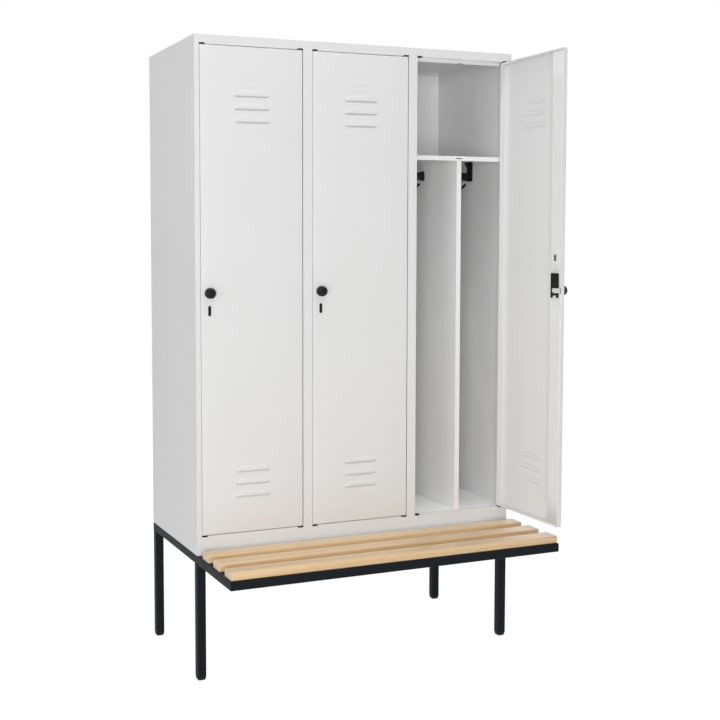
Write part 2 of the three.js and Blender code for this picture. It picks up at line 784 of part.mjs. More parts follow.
function tubeSection(x0, y0) {
  const section = roundedRectangle(x0, x0 + tube, y0, y0 + tube, tubeCorner);
  section.holes.push(roundedRectangle(x0 + tubeWall, x0 + tube - tubeWall, y0 + tubeWall,
    y0 + tube - tubeWall, tubeCorner - tubeWall / 2, THREE.Path));
  return section;
}

// A rail of the leg frame, cut to its outline seen from above
function mitredRail(rail, corners) {
  return rail.intersect(upright(new THREE.Shape(vectors(corners)), -tube - overrun, overrun));
}

function railAcross(front) {
  return across(tubeSection(front, -tube), 0, bodyWidth, 1);
}

function railBack(left) {
  const length = bodyDepth + benchReach;
  const geometry = extruded(tubeSection(left, -tube), length, 1);
  return solid(geometry.rotateX(Math.PI / 2).translate(0, bodyDepth, 0));
}

function legFrameRails() {
  const front = -benchReach;
  const back = bodyDepth;
  const right = bodyWidth;
  return {
    frame_rail_front: mitredRail(railAcross(front),
      [[0, front], [right, front], [right - tube, front + tube], [tube, front + tube]]),
    frame_rail_rear: mitredRail(railAcross(back - tube),
      [[0, back], [tube, back - tube], [right - tube, back - tube], [right, back]]),
    frame_rail_left: mitredRail(railBack(0),
      [[0, front], [tube, front + tube], [tube, back - tube], [0, back]]),
    frame_rail_right: mitredRail(railBack(right - tube),
      [[right, front], [right, back], [right - tube, back - tube], [right - tube, front + tube]]),
    frame_rail_cross: across(tubeSection(0, -tube), tube, right - tube, 1),
  };
}

function leg() {
  return upright(tubeSection(-tube / 2, -tube / 2), capHeight - legFrameHeight, -tube, 1);
}

function footCap() {
  const half = tube / 2;
  const plugHalf = half - tubeWall - runningGap;
  const top = capHeight - legFrameHeight;
  const rounded = upright(roundedRectangle(-half, half, -half, half, capCorner),
    -legFrameHeight, top + 2 * capRadius, 1, { size: capRadius, segments: 2 });
  const above = box(-tube, tube, -tube, tube, top, top + 3 * capRadius);
  const plugCorner = tubeCorner - tubeWall / 2;
  const plug = upright(roundedRectangle(-plugHalf, plugHalf, -plugHalf, plugHalf, plugCorner),
    top - capRadius / 2, top + capPlugLength, 1);
  return rounded.subtract(above).add(plug);
}

function benchSlat(front) {
  const section = roundedRectangle(front, front + slatWidth, 0, slatThickness, slatRadius);
  const bevel = { size: slatEndChamfer, segments: 1 };
  return across(section, slatEndSetback, bodyWidth - slatEndSetback, 2, bevel);
}

// The assembly

const locker = new THREE.Group();

const places = Array.from({ length: compartments }, (_, index) => compartmentPlaces(index));

const unit = new THREE.Group();
const openDoorReach = -freeEdge - hingeDepth;
const openKnobReach = places[compartments - 1].hingeX + hingeDepth + knobProjection;
const frontReach = Math.max(openDoorReach, benchReach);
const rightReach = Math.max(openKnobReach, bodyWidth);
unit.position.set(-rightReach / 2, (frontReach - bodyDepth) / 2, legFrameHeight);
locker.add(unit);

function place(name, geometry, makeMaterial, parent = unit, x = 0, y = 0, z = 0) {
  const mesh = new THREE.Mesh(geometry, makeMaterial());
  mesh.name = name;
  mesh.position.set(x, y, z);
  parent.add(mesh);
  return mesh;
}

place('side_left', geometryOf(sidePanel(false)), whitePaint);
place('side_right', geometryOf(sidePanel(true)), whitePaint);
place('back_panel', geometryOf(backPanel()), whitePaint);
place('top_panel', geometryOf(topPanel()), whitePaint);
place('floor_panel', geometryOf(floorPanel()), whitePaint);
place('front_rail_bottom', geometryOf(bottomRail(places)), whitePaint);
place('front_rail_top', geometryOf(topRail(places)), whitePaint);
place('stile_left', geometryOf(stile(null, places[0])), whitePaint);
place('stile_right', geometryOf(stile(places[compartments - 1], null)), whitePaint);
for (let i = 1; i < compartments; i += 1) {
  place(`stile_${i}`, geometryOf(stile(places[i - 1], places[i])), whitePaint);
  place(`inner_wall_${i}`, geometryOf(innerWall(i * compartmentWidth)), whitePaint);
}

const shared = {
  panel: geometryOf(doorPanel()),
  stiffener: geometryOf(doorStiffener()),
  knob: geometryOf(knob()),
  bolt: geometryOf(lockBolt()),
  case: geometryOf(lockCase()),
  plug: geometryOf(slotPlug()),
  leg: geometryOf(leg()),
  cap: geometryOf(footCap()),
};

places.forEach((compartment, index) => {
  const number = index + 1;
  const { wallLeft, wallRight, dividerX, hingeX } = compartment;
  place(`hat_shelf_${number}`, geometryOf(hatShelf(compartment)), whitePaint);
  place(`divider_${number}`, geometryOf(divider(compartment)), whitePaint);

  const webLeft = dividerX - dividerFace / 2;
  const railY = (interiorFront + innerBack) / 2 - sheet;
  place(`coat_rail_${number}_left`, geometryOf(coatRail(webLeft - wallLeft)), blackPlastic,
    unit, wallLeft, railY, railCentreHeight);
  place(`coat_rail_${number}_right`, geometryOf(coatRail(wallRight - webLeft - sheet)), blackPlastic,
    unit, wallRight, railY, railCentreHeight).rotation.z = Math.PI;

  const door = new THREE.Group();
  door.position.set(hingeX, hingeDepth, doorBottom);
  const isOpen = number === compartments;
  door.rotation.z = isOpen ? Math.PI / 2 : 0;
  unit.add(door);
  place(`door_panel_${number}`, shared.panel, whitePaint, door);
  place(`door_stiffener_${number}`, shared.stiffener, whitePaint, door);
  place(`knob_${number}`, shared.knob, blackPlastic, door, knobX, 0, knobZ);
  place(`lock_bolt_${number}`, shared.bolt, steel, door, knobX, 0, knobZ);
  place(`lock_case_${number}`, shared.case, blackPlastic, door, knobX, 0, knobZ);
  place(`slot_plug_${number}`, shared.plug, blackPlastic, door, knobX, 0, knobZ - slotBelowKnob);
});

for (const [name, rail] of Object.entries(legFrameRails())) {
  place(name, geometryOf(rail), darkPaint);
}
for (const [side, x] of [['left', tube / 2], ['right', bodyWidth - tube / 2]]) {
  for (const [end, y] of [['front', tube / 2], ['rear', bodyDepth - tube / 2]]) {
    place(`leg_${end}_${side}`, shared.leg, darkPaint, unit, x, y);
    place(`foot_cap_${end}_${side}`, shared.cap, blackPlastic, unit, x, y);
  }
}
for (let i = 0; i < slats; i += 1) {
  const front = slatFrontSetback - benchReach + i * slatPitch;
  place(`bench_slat_${i + 1}`, geometryOf(benchSlat(front)), wood);
}

export default locker;
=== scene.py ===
import bpy
import bmesh
import json
import math
import numpy as np
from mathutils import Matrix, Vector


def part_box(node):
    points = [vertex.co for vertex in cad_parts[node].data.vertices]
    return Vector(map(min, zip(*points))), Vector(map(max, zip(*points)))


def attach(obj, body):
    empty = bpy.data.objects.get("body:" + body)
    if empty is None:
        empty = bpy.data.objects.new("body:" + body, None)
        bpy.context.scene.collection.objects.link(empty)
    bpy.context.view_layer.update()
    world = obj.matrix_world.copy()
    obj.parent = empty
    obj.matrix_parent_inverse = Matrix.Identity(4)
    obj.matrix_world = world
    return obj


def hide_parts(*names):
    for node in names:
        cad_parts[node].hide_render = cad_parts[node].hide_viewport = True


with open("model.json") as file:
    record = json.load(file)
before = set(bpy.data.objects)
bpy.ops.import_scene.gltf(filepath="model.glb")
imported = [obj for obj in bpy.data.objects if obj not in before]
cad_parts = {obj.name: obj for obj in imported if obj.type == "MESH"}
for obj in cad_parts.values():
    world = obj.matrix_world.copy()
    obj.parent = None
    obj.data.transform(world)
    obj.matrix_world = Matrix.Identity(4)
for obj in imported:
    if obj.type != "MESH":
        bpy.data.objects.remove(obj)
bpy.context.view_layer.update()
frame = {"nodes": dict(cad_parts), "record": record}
nodes = frame["nodes"]
print("frame loaded:", len(nodes), "nodes")

scene = bpy.context.scene
scene.view_settings.view_transform = "Standard"

# camera: stands to the left of the unit and looks a little down

cameraSetup = {
    "place": (-1.8014, -3.5927, 1.4535),
    "lookDown": 3.706,
    "turnRight": 21.282,
    "tilt": 0.23,
    "lens": 57.176,
    "shiftX": 0.16,
    "shiftY": -0.06,
}


def makeCamera(setup):
    data = bpy.data.cameras.new("camera")
    data.lens = setup["lens"]
    data.shift_x = setup["shiftX"]
    data.shift_y = setup["shiftY"]
    camera = bpy.data.objects.new("camera", data)
    camera.location = setup["place"]
    camera.rotation_euler = [math.radians(angle) for angle in
                             (90 - setup["lookDown"], setup["tilt"], -setup["turnRight"])]
    scene.collection.objects.link(camera)
    scene.camera = camera


makeCamera(cameraSetup)
print("camera made")

# light: a faint even room, shown white, a large soft lamp in front on the left, weaker ones on the
# left and high above the bench, and one each behind and on the right for the sides seen from there

lightSetup = {
    "room": 0.32, "shown": 1,
    "lamps": [
        {"place": (-2.6, -5.0, 1.3), "aim": (0.0, 0.0, 1.1), "size": 2.0, "power": 123},
        {"place": (-5.5, -2.2, 2.0), "aim": (0.0, 0.0, 1.1), "size": 3.0, "power": 44},
        {"place": (-0.2, -1.4, 6.0), "aim": (0.0, -0.3, 0.5), "size": 2.2, "power": 90},
        {"place": (0.0, 6.0, 2.6), "aim": (0.0, 0.0, 1.1), "size": 2.0, "power": 100},
        {"place": (6.0, 1.2, 2.0), "aim": (0.0, 0.0, 1.1), "size": 2.5, "power": 85},
    ],
}


def shownRays(tree):
    # 1 for rays that see the background: straight from the camera, mirrored or through glass
    path = tree.nodes.new("ShaderNodeLightPath")
    total = path.outputs["Is Camera Ray"]
    for kind in ("Is Glossy Ray", "Is Transmission Ray"):
        either = tree.nodes.new("ShaderNodeMath")
        either.operation = "MAXIMUM"
        tree.links.new(total, either.inputs[0])
        tree.links.new(path.outputs[kind], either.inputs[1])
        total = either.outputs[0]
    return total


def makeWorld(setup):
    world = bpy.data.worlds.new("room")
    world.use_nodes = True
    tree = world.node_tree
    tree.nodes.clear()
    mix = tree.nodes.new("ShaderNodeMixShader")
    tree.links.new(shownRays(tree), mix.inputs[0])
    for end, strength in ((1, setup["room"]), (2, setup["shown"])):
        light = tree.nodes.new("ShaderNodeBackground")
        light.inputs["Color"].default_value = (1, 1, 1, 1)
        light.inputs["Strength"].default_value = strength
        tree.links.new(light.outputs[0], mix.inputs[end])
    output = tree.nodes.new("ShaderNodeOutputWorld")
    tree.links.new(mix.outputs[0], output.inputs["Surface"])
    scene.world = world


def makeLamp(number, setup):
    data = bpy.data.lights.new(f"lamp{number}", "AREA")
    data.size = setup["size"]
    data.energy = setup["power"]
    lamp = bpy.data.objects.new(f"lamp{number}", data)
    lamp.location = setup["place"]
    away = np.array(setup["place"]) - np.array(setup["aim"])
    flat = math.hypot(away[0], away[1])
    lamp.rotation_euler = (math.atan2(flat, away[2]), 0, math.atan2(away[0], -away[1]))
    scene.collection.objects.link(lamp)


makeWorld(lightSetup)
for number, lamp in enumerate(lightSetup["lamps"]):
    makeLamp(number, lamp)

floorSetup = {"reach": 30.0, "albedo": 0.8, "glow": 0.97, "strength": 1.03}


def makeFloor(setup):
    # a pale matt floor: what the camera sees of it is mostly its own white, with the unit's shadow
    reach = setup["reach"]
    mesh = bpy.data.meshes.new("floor")
    signs = ((-1, -1), (1, -1), (1, 1), (-1, 1))
    mesh.from_pydata([(reach * x, reach * y, 0) for x, y in signs], [], [(0, 1, 2, 3)])
    floor = bpy.data.objects.new("floor", mesh)
    scene.collection.objects.link(floor)
    pale = bpy.data.materials.new("paleFloor")
    pale.use_nodes = True
    tree = pale.node_tree
    tree.nodes.clear()
    albedo = setup["albedo"]
    matt = tree.nodes.new("ShaderNodeBsdfDiffuse")
    matt.inputs["Color"].default_value = (albedo, albedo, albedo, 1)
    glow = tree.nodes.new("ShaderNodeEmission")
    glow.inputs["Strength"].default_value = setup["strength"]
    mix = tree.nodes.new("ShaderNodeMixShader")
    amount = tree.nodes.new("ShaderNodeMath")
    amount.operation = "MULTIPLY"
    amount.inputs[1].default_value = setup["glow"]
    output = tree.nodes.new("ShaderNodeOutputMaterial")
    tree.links.new(shownRays(tree), amount.inputs[0])
    tree.links.new(amount.outputs[0], mix.inputs[0])
    tree.links.new(matt.outputs[0], mix.inputs[1])
    tree.links.new(glow.outputs[0], mix.inputs[2])
    tree.links.new(mix.outputs[0], output.inputs["Surface"])
    mesh.materials.append(pale)


makeFloor(floorSetup)
print("room, lamps and floor made")

# finishes


class Nodes:
    # a material's node tree, with one short call for each kind of node; an input is given a plain
    # value or another node's output

    def __init__(self, name):
        self.material = bpy.data.materials.new(name)
        self.material.use_nodes = True
        self.tree = self.material.node_tree
        self.shader = self.tree.nodes["Principled BSDF"]
        self.place = self.add("ShaderNodeTexCoord").outputs["Object"]

    def give(self, socket, value):
        if isinstance(value, bpy.types.NodeSocket):
            self.tree.links.new(value, socket)
        else:
            socket.default_value = value

    def fill(self, node, inputs):
        for name, value in inputs.items():
            self.give(node.inputs[name.replace("_", " ")], value)

    def add(self, kind, **inputs):
        node = self.tree.nodes.new(kind)
        self.fill(node, inputs)
        return node

    def noise(self, place, scale, detail=2.0, roughness=0.5, distortion=0.0):
        return self.add("ShaderNodeTexNoise", Vector=place, Scale=scale, Detail=detail,
                        Roughness=roughness, Distortion=distortion).outputs["Fac"]

    def streaks(self, scales, *grain):
        # noise drawn out along the axes that have a small scale
        mapping = self.add("ShaderNodeMapping", Vector=self.place, Scale=scales)
        return self.noise(mapping.outputs["Vector"], 1, *grain)

    def ramp(self, value, stops):
        node = self.add("ShaderNodeValToRGB", Fac=value)
        ramp = node.color_ramp
        while len(ramp.elements) < len(stops):
            ramp.elements.new(0.5)
        for element, (position, color) in zip(ramp.elements, stops):
            element.position = position
            element.color = (*color, 1)
        return node.outputs["Color"]

    def spread(self, value, low, high, fromLow=0.3, fromHigh=0.7):
        return self.add("ShaderNodeMapRange", Value=value, From_Min=fromLow, From_Max=fromHigh,
                        To_Min=low, To_Max=high).outputs["Result"]

    def mixed(self, factor, first, second):
        # the mix's inputs for colours share their names with others, so they go by number
        node = self.add("ShaderNodeMix")
        node.data_type = "RGBA"
        for end, value in ((0, factor), (6, first), (7, second)):
            self.give(node.inputs[end], value)
        return node.outputs[2]

    def bump(self, height, strength, distance, **under):
        return self.add("ShaderNodeBump", Height=height, Strength=strength, Distance=distance,
                        **under).outputs["Normal"]

    def finish(self, **inputs):
        self.fill(self.shader, inputs)
        return self.material


# the grain of each finish: a noise is its scale, detail, roughness and distortion, a spread the
# result's low and high and the noise's, and a bump its strength and height

coatGrain = {
    "drift": (2.3, 3), "peel": (620, 2, 0.6), "speck": (2600, 1), "patches": (38, 4),
    "uneven": 0.035, "peelBump": (0.16, 0.0003), "speckBump": (0.05, 0.0002),
}


def powderCoat(name, pale, deep, gloss, specular, grain=coatGrain):
    # sprayed powder: a fine orange peel, and broad, faint drifts of tone and gloss
    coat = Nodes(name)
    drift, peel, speck, patches = (coat.noise(coat.place, *grain[kind])
                                   for kind in ("drift", "peel", "speck", "patches"))
    color = coat.mixed(coat.spread(drift, 0, 1), (*deep, 1), (*pale, 1))
    roughness = coat.spread(patches, gloss - grain["uneven"], gloss + grain["uneven"])
    normal = coat.bump(speck, *grain["speckBump"], Normal=coat.bump(peel, *grain["peelBump"]))
    return coat.finish(Base_Color=color, Roughness=roughness, Normal=normal,
                       Specular_IOR_Level=specular)


plasticGrain = {
    "pits": (1900, 3, 0.7), "patches": (60, 3), "bump": (0.12, 0.0002), "roughness": (0.44, 0.56),
    "specular": 0.22,
    "deep": (0.0065, 0.0065, 0.0070, 1), "pale": (0.0100, 0.0100, 0.0106, 1),
}


def blackPlasticFinish(grain):
    # moulded plastic: spark-eroded grain and faintly uneven gloss
    plastic = Nodes("blackPlastic")
    pits = plastic.noise(plastic.place, *grain["pits"])
    patches = plastic.noise(plastic.place, *grain["patches"])
    color = plastic.mixed(plastic.spread(patches, 0, 1), grain["deep"], grain["pale"])
    return plastic.finish(Base_Color=color, Roughness=plastic.spread(patches, *grain["roughness"]),
                          Normal=plastic.bump(pits, *grain["bump"]),
                          Specular_IOR_Level=grain["specular"])


steelGrain = {
    "lines": ((60, 60, 2600), 3, 0.6), "clouds": (110, 4, 0.6), "bump": (0.08, 0.0001),
    "roughness": (0.34, 0.54), "metal": 0.45,
    "deep": (0.84, 0.84, 0.85, 1), "pale": (0.93, 0.93, 0.93, 1),
}


def zincPlateFinish(grain):
    # zinc-plated steel: rolling lines along the piece over a cloudy, patchy brightness
    steel = Nodes("zincPlate")
    lines = steel.streaks(*grain["lines"])
    clouds = steel.noise(steel.place, *grain["clouds"])
    color = steel.mixed(steel.spread(clouds, 0, 1), grain["deep"], grain["pale"])
    return steel.finish(Base_Color=color, Roughness=steel.spread(lines, *grain["roughness"]),
                        Metallic=grain["metal"], Normal=steel.bump(lines, *grain["bump"]))


beechGrain = {
    "wander": ((1.4, 7, 7), 3), "rings": ((0.9, 52, 52), 4, 0.55, 0.6),
    "pores": ((16, 900, 900), 2, 0.6), "flecks": ((95, 620, 620), 1),
    "driftSpread": (0, 0.5), "poreSpread": (0.16, 0, 0.30, 0.52),
    "fleckSpread": (0.45, 0, 0.22, 0.34),
    "ringTones": ((0.30, (0.640, 0.405, 0.190)), (0.50, (0.755, 0.510, 0.268)),
                  (0.72, (0.820, 0.585, 0.335))),
    "driftTone": (0.785, 0.55, 0.30, 1), "poreTone": (0.40, 0.22, 0.09, 1),
    "fleckTone": (0.36, 0.19, 0.07, 1), "bump": (0.10, 0.0003), "roughness": (0.36, 0.26),
    "specular": 0.65, "coat": 0.5, "coatRoughness": 0.30,
}


def beechFinish(grain):
    # light hardwood: soft year-ring bands and fine pores drawn out along X, with short dark flecks
    beech = Nodes("beech")
    wander, rings, pores, flecks = (beech.streaks(*grain[kind])
                                    for kind in ("wander", "rings", "pores", "flecks"))
    tone = beech.ramp(rings, grain["ringTones"])
    drift = beech.mixed(beech.spread(wander, *grain["driftSpread"]), tone, grain["driftTone"])
    grained = beech.mixed(beech.spread(pores, *grain["poreSpread"]), drift, grain["poreTone"])
    color = beech.mixed(beech.spread(flecks, *grain["fleckSpread"]), grained, grain["fleckTone"])
    return beech.finish(Base_Color=color, Roughness=beech.spread(pores, *grain["roughness"]),
                        Normal=beech.bump(pores, *grain["bump"]),
                        Specular_IOR_Level=grain["specular"], Coat_Weight=grain["coat"],
                        Coat_Roughness=grain["coatRoughness"])


def grey(value):
    return value, value, value


anthracitePale, anthraciteDeep = (0.0112, 0.0142, 0.0172), (0.0092, 0.0118, 0.0144)
finishes = {
    "white_paint": powderCoat("whiteCoat", grey(0.785), grey(0.77), gloss=0.42, specular=0.35),
    "dark_paint": powderCoat("anthraciteCoat", anthracitePale, anthraciteDeep, gloss=0.5,
                             specular=0.08),
    "black_plastic": blackPlasticFinish(plasticGrain),
    "steel": zincPlateFinish(steelGrain),
    "wood": beechFinish(beechGrain),
}
# a lighter copy of the white coat for the unit's inside: painted light that brightens the back,
# floor and inner walls beyond what the lamps give them
paintedLightInsideCoat = powderCoat("paintedLightInsideCoat", grey(0.98), grey(0.97), gloss=0.45, specular=0.30)
# a lighter copy of the white coat for the doors' inner sides, the hat shelves and the dividers:
# painted light that brightens these inner faces
paintedLightLiningCoat = powderCoat("paintedLightLiningCoat", grey(0.85), grey(0.835), gloss=0.45, specular=0.30)
print("finishes made:", ", ".join(finishes))

# tools for making pieces: a skin is gathered patch by patch in millimetres, in the unit's own
# directions from the lower left corner of its front, then turned into a mesh

sideLow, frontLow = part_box("side_left")[0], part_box("front_rail_bottom")[0]
unitOrigin = np.array([sideLow[0], frontLow[1], sideLow[2]])
mergeReach = 2e-6
near = 1e-6
softEdge = {"segments": 2, "fromAngle": 40}
numbers = (1, 2, 3)


def inUnit(points):
    return points / 1000 + unitOrigin


def nodeBox(name):
    low, high = (np.array(corner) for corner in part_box(name))
    return (low - unitOrigin) * 1000, (high - unitOrigin) * 1000


class Skin:
    def __init__(self):
        self.points = []
        self.faces = []
        self.count = 0

    def grid(self, points, closed=False, capped=(), keep=None):
        # quads between the rows of a grid of points: closed joins its last column to its first,
        # capped fills its first (0) or last (1) row, and keep says which cells stay
        rows, columns = points.shape[:2]
        across = columns if closed else columns - 1
        row, column = np.meshgrid(np.arange(rows - 1), np.arange(across), indexing="ij")
        following = (column + 1) % columns
        quads = np.stack([row * columns + column, row * columns + following,
                          (row + 1) * columns + following, (row + 1) * columns + column], axis=-1)
        if keep is not None:
            quads = quads[keep]
        self.faces += (quads.reshape(-1, 4) + self.count).tolist()
        ring = np.arange(columns) + self.count
        if 0 in capped:
            self.faces.append(ring[::-1].tolist())
        if 1 in capped:
            self.faces.append((ring + (rows - 1) * columns).tolist())
        self.points.append(points.reshape(-1, 3))
        self.count += rows * columns
        return self

    def solid(self, points):
        # outlines joined one to the next, with both ends filled
        return self.grid(points, closed=True, capped=(0, 1))


def makePiece(name, skin, body, slot, replaced, move=inUnit, shell=True, **looks):
    # shell turns a closed skin's faces outward, and an open one keeps the side it was drawn on
    mesh = bpy.data.meshes.new(name)
    mesh.from_pydata(move(np.concatenate(skin.points)).tolist(), [], skin.faces)
    work = bmesh.new()
    work.from_mesh(mesh)
    bmesh.ops.remove_doubles(work, verts=work.verts, dist=mergeReach)
    bmesh.ops.dissolve_degenerate(work, edges=work.edges, dist=mergeReach / 2)
    if shell:
        bmesh.ops.recalc_face_normals(work, faces=work.faces)
    work.to_mesh(mesh)
    work.free()
    dressPiece(name, mesh, body, slot, replaced, **looks)


def dressPiece(name, mesh, body, slot, replaced, finish=None, sharp=38, wall=0, bevel=0,
               lining=None):
    # finish is the slot's own unless another is given; wall gives a sheet its thickness in mm, and
    # lining is the finish of the side this adds
    mesh.materials.clear()
    mesh.materials.append(finish or finishes[slot])
    mesh.shade_smooth()
    mesh.set_sharp_from_angle(angle=math.radians(sharp))
    piece = bpy.data.objects.new(name, mesh)
    scene.collection.objects.link(piece)
    if wall:
        thick = piece.modifiers.new("wall", "SOLIDIFY")
        thick.thickness = wall / 1000
        thick.offset = -1
        if lining:
            mesh.materials.append(lining)
            thick.material_offset = 1
    if bevel:
        soft = piece.modifiers.new("soft", "BEVEL")
        soft.width = bevel / 1000
        soft.segments = softEdge["segments"]
        soft.limit_method = "ANGLE"
        soft.angle_limit = math.radians(softEdge["fromAngle"])
    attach(piece, body)
    if replaced:
        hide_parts(*replaced)


leastCorner = 0.2
roundSlack = 0.01


def roundedLoop(width, height, radius, steps=6):
    # outline of a rectangle with round corners: a quarter turn about each corner's centre,
    # anticlockwise
    signs = np.array([[1, 1], [-1, 1], [-1, -1], [1, -1]])
    centres = signs * (np.array([width, height]) / 2 - radius)
    angles = np.linspace(0, np.pi / 2, steps + 1)[None, :] + np.arange(4)[:, None] * np.pi / 2
    loop = centres[:, None, :] + radius * np.stack([np.cos(angles), np.sin(angles)], axis=-1)
    return loop.reshape(-1, 2)


def drawnLoops(width, height, radius, drawn, steps=6):
    # the same outline drawn in by each of several distances, its corners' radius with it
    return np.stack([roundedLoop(width - 2 * d, height - 2 * d, max(radius - d, leastCorner), steps)
                     for d in drawn])


def softEnds(start, end, radius, steps=3):
    # places along a bar and how far its outline is drawn in there: a quarter turn at each end
    turn = np.linspace(0, np.pi / 2, steps + 1)
    drawn = radius * (1 - np.sin(turn))
    along = radius * (1 - np.cos(turn))
    return np.concatenate([start + along, end - along[::-1]]), np.concatenate([drawn, drawn[::-1]])


def stacked(loops, places, axes, centre=(0, 0)):
    # outlines set one after another: axes says which way the outline's two directions and the
    # stack go
    points = np.zeros(loops.shape[:2] + (3,))
    points[..., axes[0]] = loops[..., 0] + centre[0]
    points[..., axes[1]] = loops[..., 1] + centre[1]
    points[..., axes[2]] = np.asarray(places, dtype=float)[:, None]
    return points


def turned(radii, depths, sides=64, centre=(0, 0)):
    # circles about an axis that runs from front to back
    angle = np.arange(sides) / sides * 2 * np.pi
    points = np.zeros((len(radii), sides, 3))
    points[..., 0] = np.asarray(radii)[:, None] * np.cos(angle) + centre[0]
    points[..., 1] = np.asarray(depths, dtype=float)[:, None]
    points[..., 2] = np.asarray(radii)[:, None] * np.sin(angle) + centre[1]
    return points


# bench slats: a rounded section carried along X, with softly rounded ends

slatShape = {"count": 3, "edge": 3.2, "end": 1.6}


def makeSlat(name, shape):
    low, high = nodeBox(name)
    places, drawn = softEnds(low[0], high[0], shape["end"])
    loops = drawnLoops(high[1] - low[1], high[2] - low[2], shape["edge"], drawn)
    centre = ((low[1] + high[1]) / 2, (low[2] + high[2]) / 2)
    skin = Skin().solid(stacked(loops, places, (1, 2, 0), centre))
    makePiece(name + "_wood", skin, "cabinet", "wood", [name])


for number in range(1, slatShape["count"] + 1):
    makeSlat(f"bench_slat_{number}", slatShape)
print("bench slats made")

# leg frame: square tube with round corners; a mitred end runs back as the section goes inwards

tubeShape = {"size": 30.0, "corner": 3.5, "steps": 5}


def mitredTube(name, shape, along, low, high, outerSide, mitres):
    # each point of the section ends as far inside the tube's end as it is from the outer side
    size = shape["size"]
    across = 1 - along
    loop = roundedLoop(size, size, shape["corner"], shape["steps"])
    middle = ((low[across] + high[across]) / 2, (low[2] + high[2]) / 2)
    inward = loop[:, 0] + size / 2 if outerSide < 0 else size / 2 - loop[:, 0]
    points = np.zeros((2, len(loop), 3))
    points[..., across] = loop[:, 0] + middle[0]
    points[..., 2] = loop[:, 1] + middle[1]
    points[0, :, along] = low[along] + inward * mitres
    points[1, :, along] = high[along] - inward * mitres
    makePiece(name + "_tube", Skin().solid(points), "cabinet", "dark_paint", [name])


for name, along, outerSide, mitres in (("frame_rail_front", 0, -1, 1), ("frame_rail_rear", 0, 1, 1),
                                       ("frame_rail_left", 1, -1, 1), ("frame_rail_right", 1, 1, 1),
                                       ("frame_rail_cross", 0, -1, 0)):
    mitredTube(name, tubeShape, along, *nodeBox(name), outerSide, mitres)

corners = ("front_left", "front_right", "rear_left", "rear_right")
footShape = {"corner": 8.0, "bottom": 7.5, "bottomSteps": 6, "lip": 0.8, "lipSteps": 4}


def makeLeg(corner, shape):
    low, high = nodeBox(f"leg_{corner}")
    loops = drawnLoops(shape["size"], shape["size"], shape["corner"], (0, 0), shape["steps"])
    centre = ((low[0] + high[0]) / 2, (low[1] + high[1]) / 2)
    points = stacked(loops, (low[2], high[2]), (0, 1, 2), centre)
    makePiece(f"leg_{corner}_tube", Skin().solid(points), "cabinet", "dark_paint",
              [f"leg_{corner}"])
    return low[2], centre


def makeFoot(corner, shape, tube, top, centre):
    # moulded cap: its outline turns in under a large radius below and a small one at the tube
    low = nodeBox(f"foot_cap_{corner}")[0]
    bottom, lip = shape["bottom"], shape["lip"]
    under = np.linspace(0, np.pi / 2, shape["bottomSteps"])
    over = np.linspace(np.pi / 2, 0, shape["lipSteps"])
    drawn = np.concatenate([bottom * (1 - np.sin(under)), lip * (1 - np.sin(over))])
    places = np.concatenate([low[2] + bottom * (1 - np.cos(under)), top - lip * (1 - np.cos(over))])
    loops = drawnLoops(tube["size"], tube["size"], shape["corner"], drawn, tube["steps"])
    points = stacked(loops, places, (0, 1, 2), centre)
    makePiece(f"foot_cap_{corner}_moulding", Skin().solid(points), "cabinet", "black_plastic",
              [f"foot_cap_{corner}"])


for corner in corners:
    makeFoot(corner, footShape, tubeShape, *makeLeg(corner, tubeShape))
print("leg frame and feet made")

# coat rails, along X from the wall bracket to the flared socket on the divider, Z from the rail's
# middle; the hub and the socket are lists of a place, from the middle or from the end, and how far
# the rail's outline stands out there

railShape = {
    "thickness": 15.0, "height": 30.0, "start": 8.0, "collar": 2.0, "steps": 8,
    "hub": ((-9.0, 0), (-8.0, 2.1), (-7.0, 3.0), (7.0, 3.0), (8.0, 2.1), (9.0, 0)),
    "socket": ((13.0, 0), (11.0, 0.3), (9.0, 1.0), (7.0, 1.7), (4.4, 2.0), (3.2, 2.2), (3.0, 2.9),
               (2.4, 3.6), (0.6, 3.6), (0, 3.0)),
    "bracketWidth": 30.0, "bracketCorner": 5.0, "bracketFace": 9.0, "bracketBack": 1.0,
    "bracketUp": 56.0, "bracketSoft": 1.5,
    "prongReach": 12.5, "prongFoot": 26.0, "prongRise": 23.0, "prongRadius": 4.8, "prongRoot": 1.25,
    "prongSteps": 10,
    "hookReach": 78.0, "hookDrop": 30.0, "hookTip": 16.0, "hookSink": 3.0, "hookRadius": 4.0,
    "hookThick": 1.3, "hookTaper": 0.2, "hookThinAt": 0.62, "hookSteps": 26,
    "hookDown": 1.2, "hookOut": 0.7, "hookUnder": 1.4, "wallGap": 1.0,
}


def bezier(start, first, second, end, count):
    # points on a cubic curve between two ends, drawn towards two handles
    t = np.linspace(0, 1, count)[:, None]
    return ((1 - t) ** 3 * start + 3 * (1 - t) ** 2 * t * first + 3 * (1 - t) * t ** 2 * second
            + t ** 3 * end)


def roundArm(path, radii, sides=16, domeSteps=6):
    # a round section carried along a path in X and Z: circles about each point, square to the way
    # the path runs, and a dome that closes on its axis at the far end
    way = np.gradient(path, axis=0)
    way /= np.linalg.norm(way, axis=1)[:, None]
    turn = np.linspace(0, np.pi / 2, domeSteps)[1:]
    path = np.concatenate([path, path[-1] + np.sin(turn)[:, None] * radii[-1] * way[-1]])
    radii = np.concatenate([radii, radii[-1] * np.cos(turn)])
    way = np.concatenate([way, np.repeat(way[-1:], len(turn), axis=0)])
    angle = np.arange(sides) / sides * 2 * np.pi
    reach = radii[:, None] * np.cos(angle)
    points = np.zeros((len(path), sides, 3))
    points[..., 0] = path[:, :1] - way[:, 1:] * reach
    points[..., 1] = radii[:, None] * np.sin(angle)
    points[..., 2] = path[:, 1:] + way[:, :1] * reach
    return points


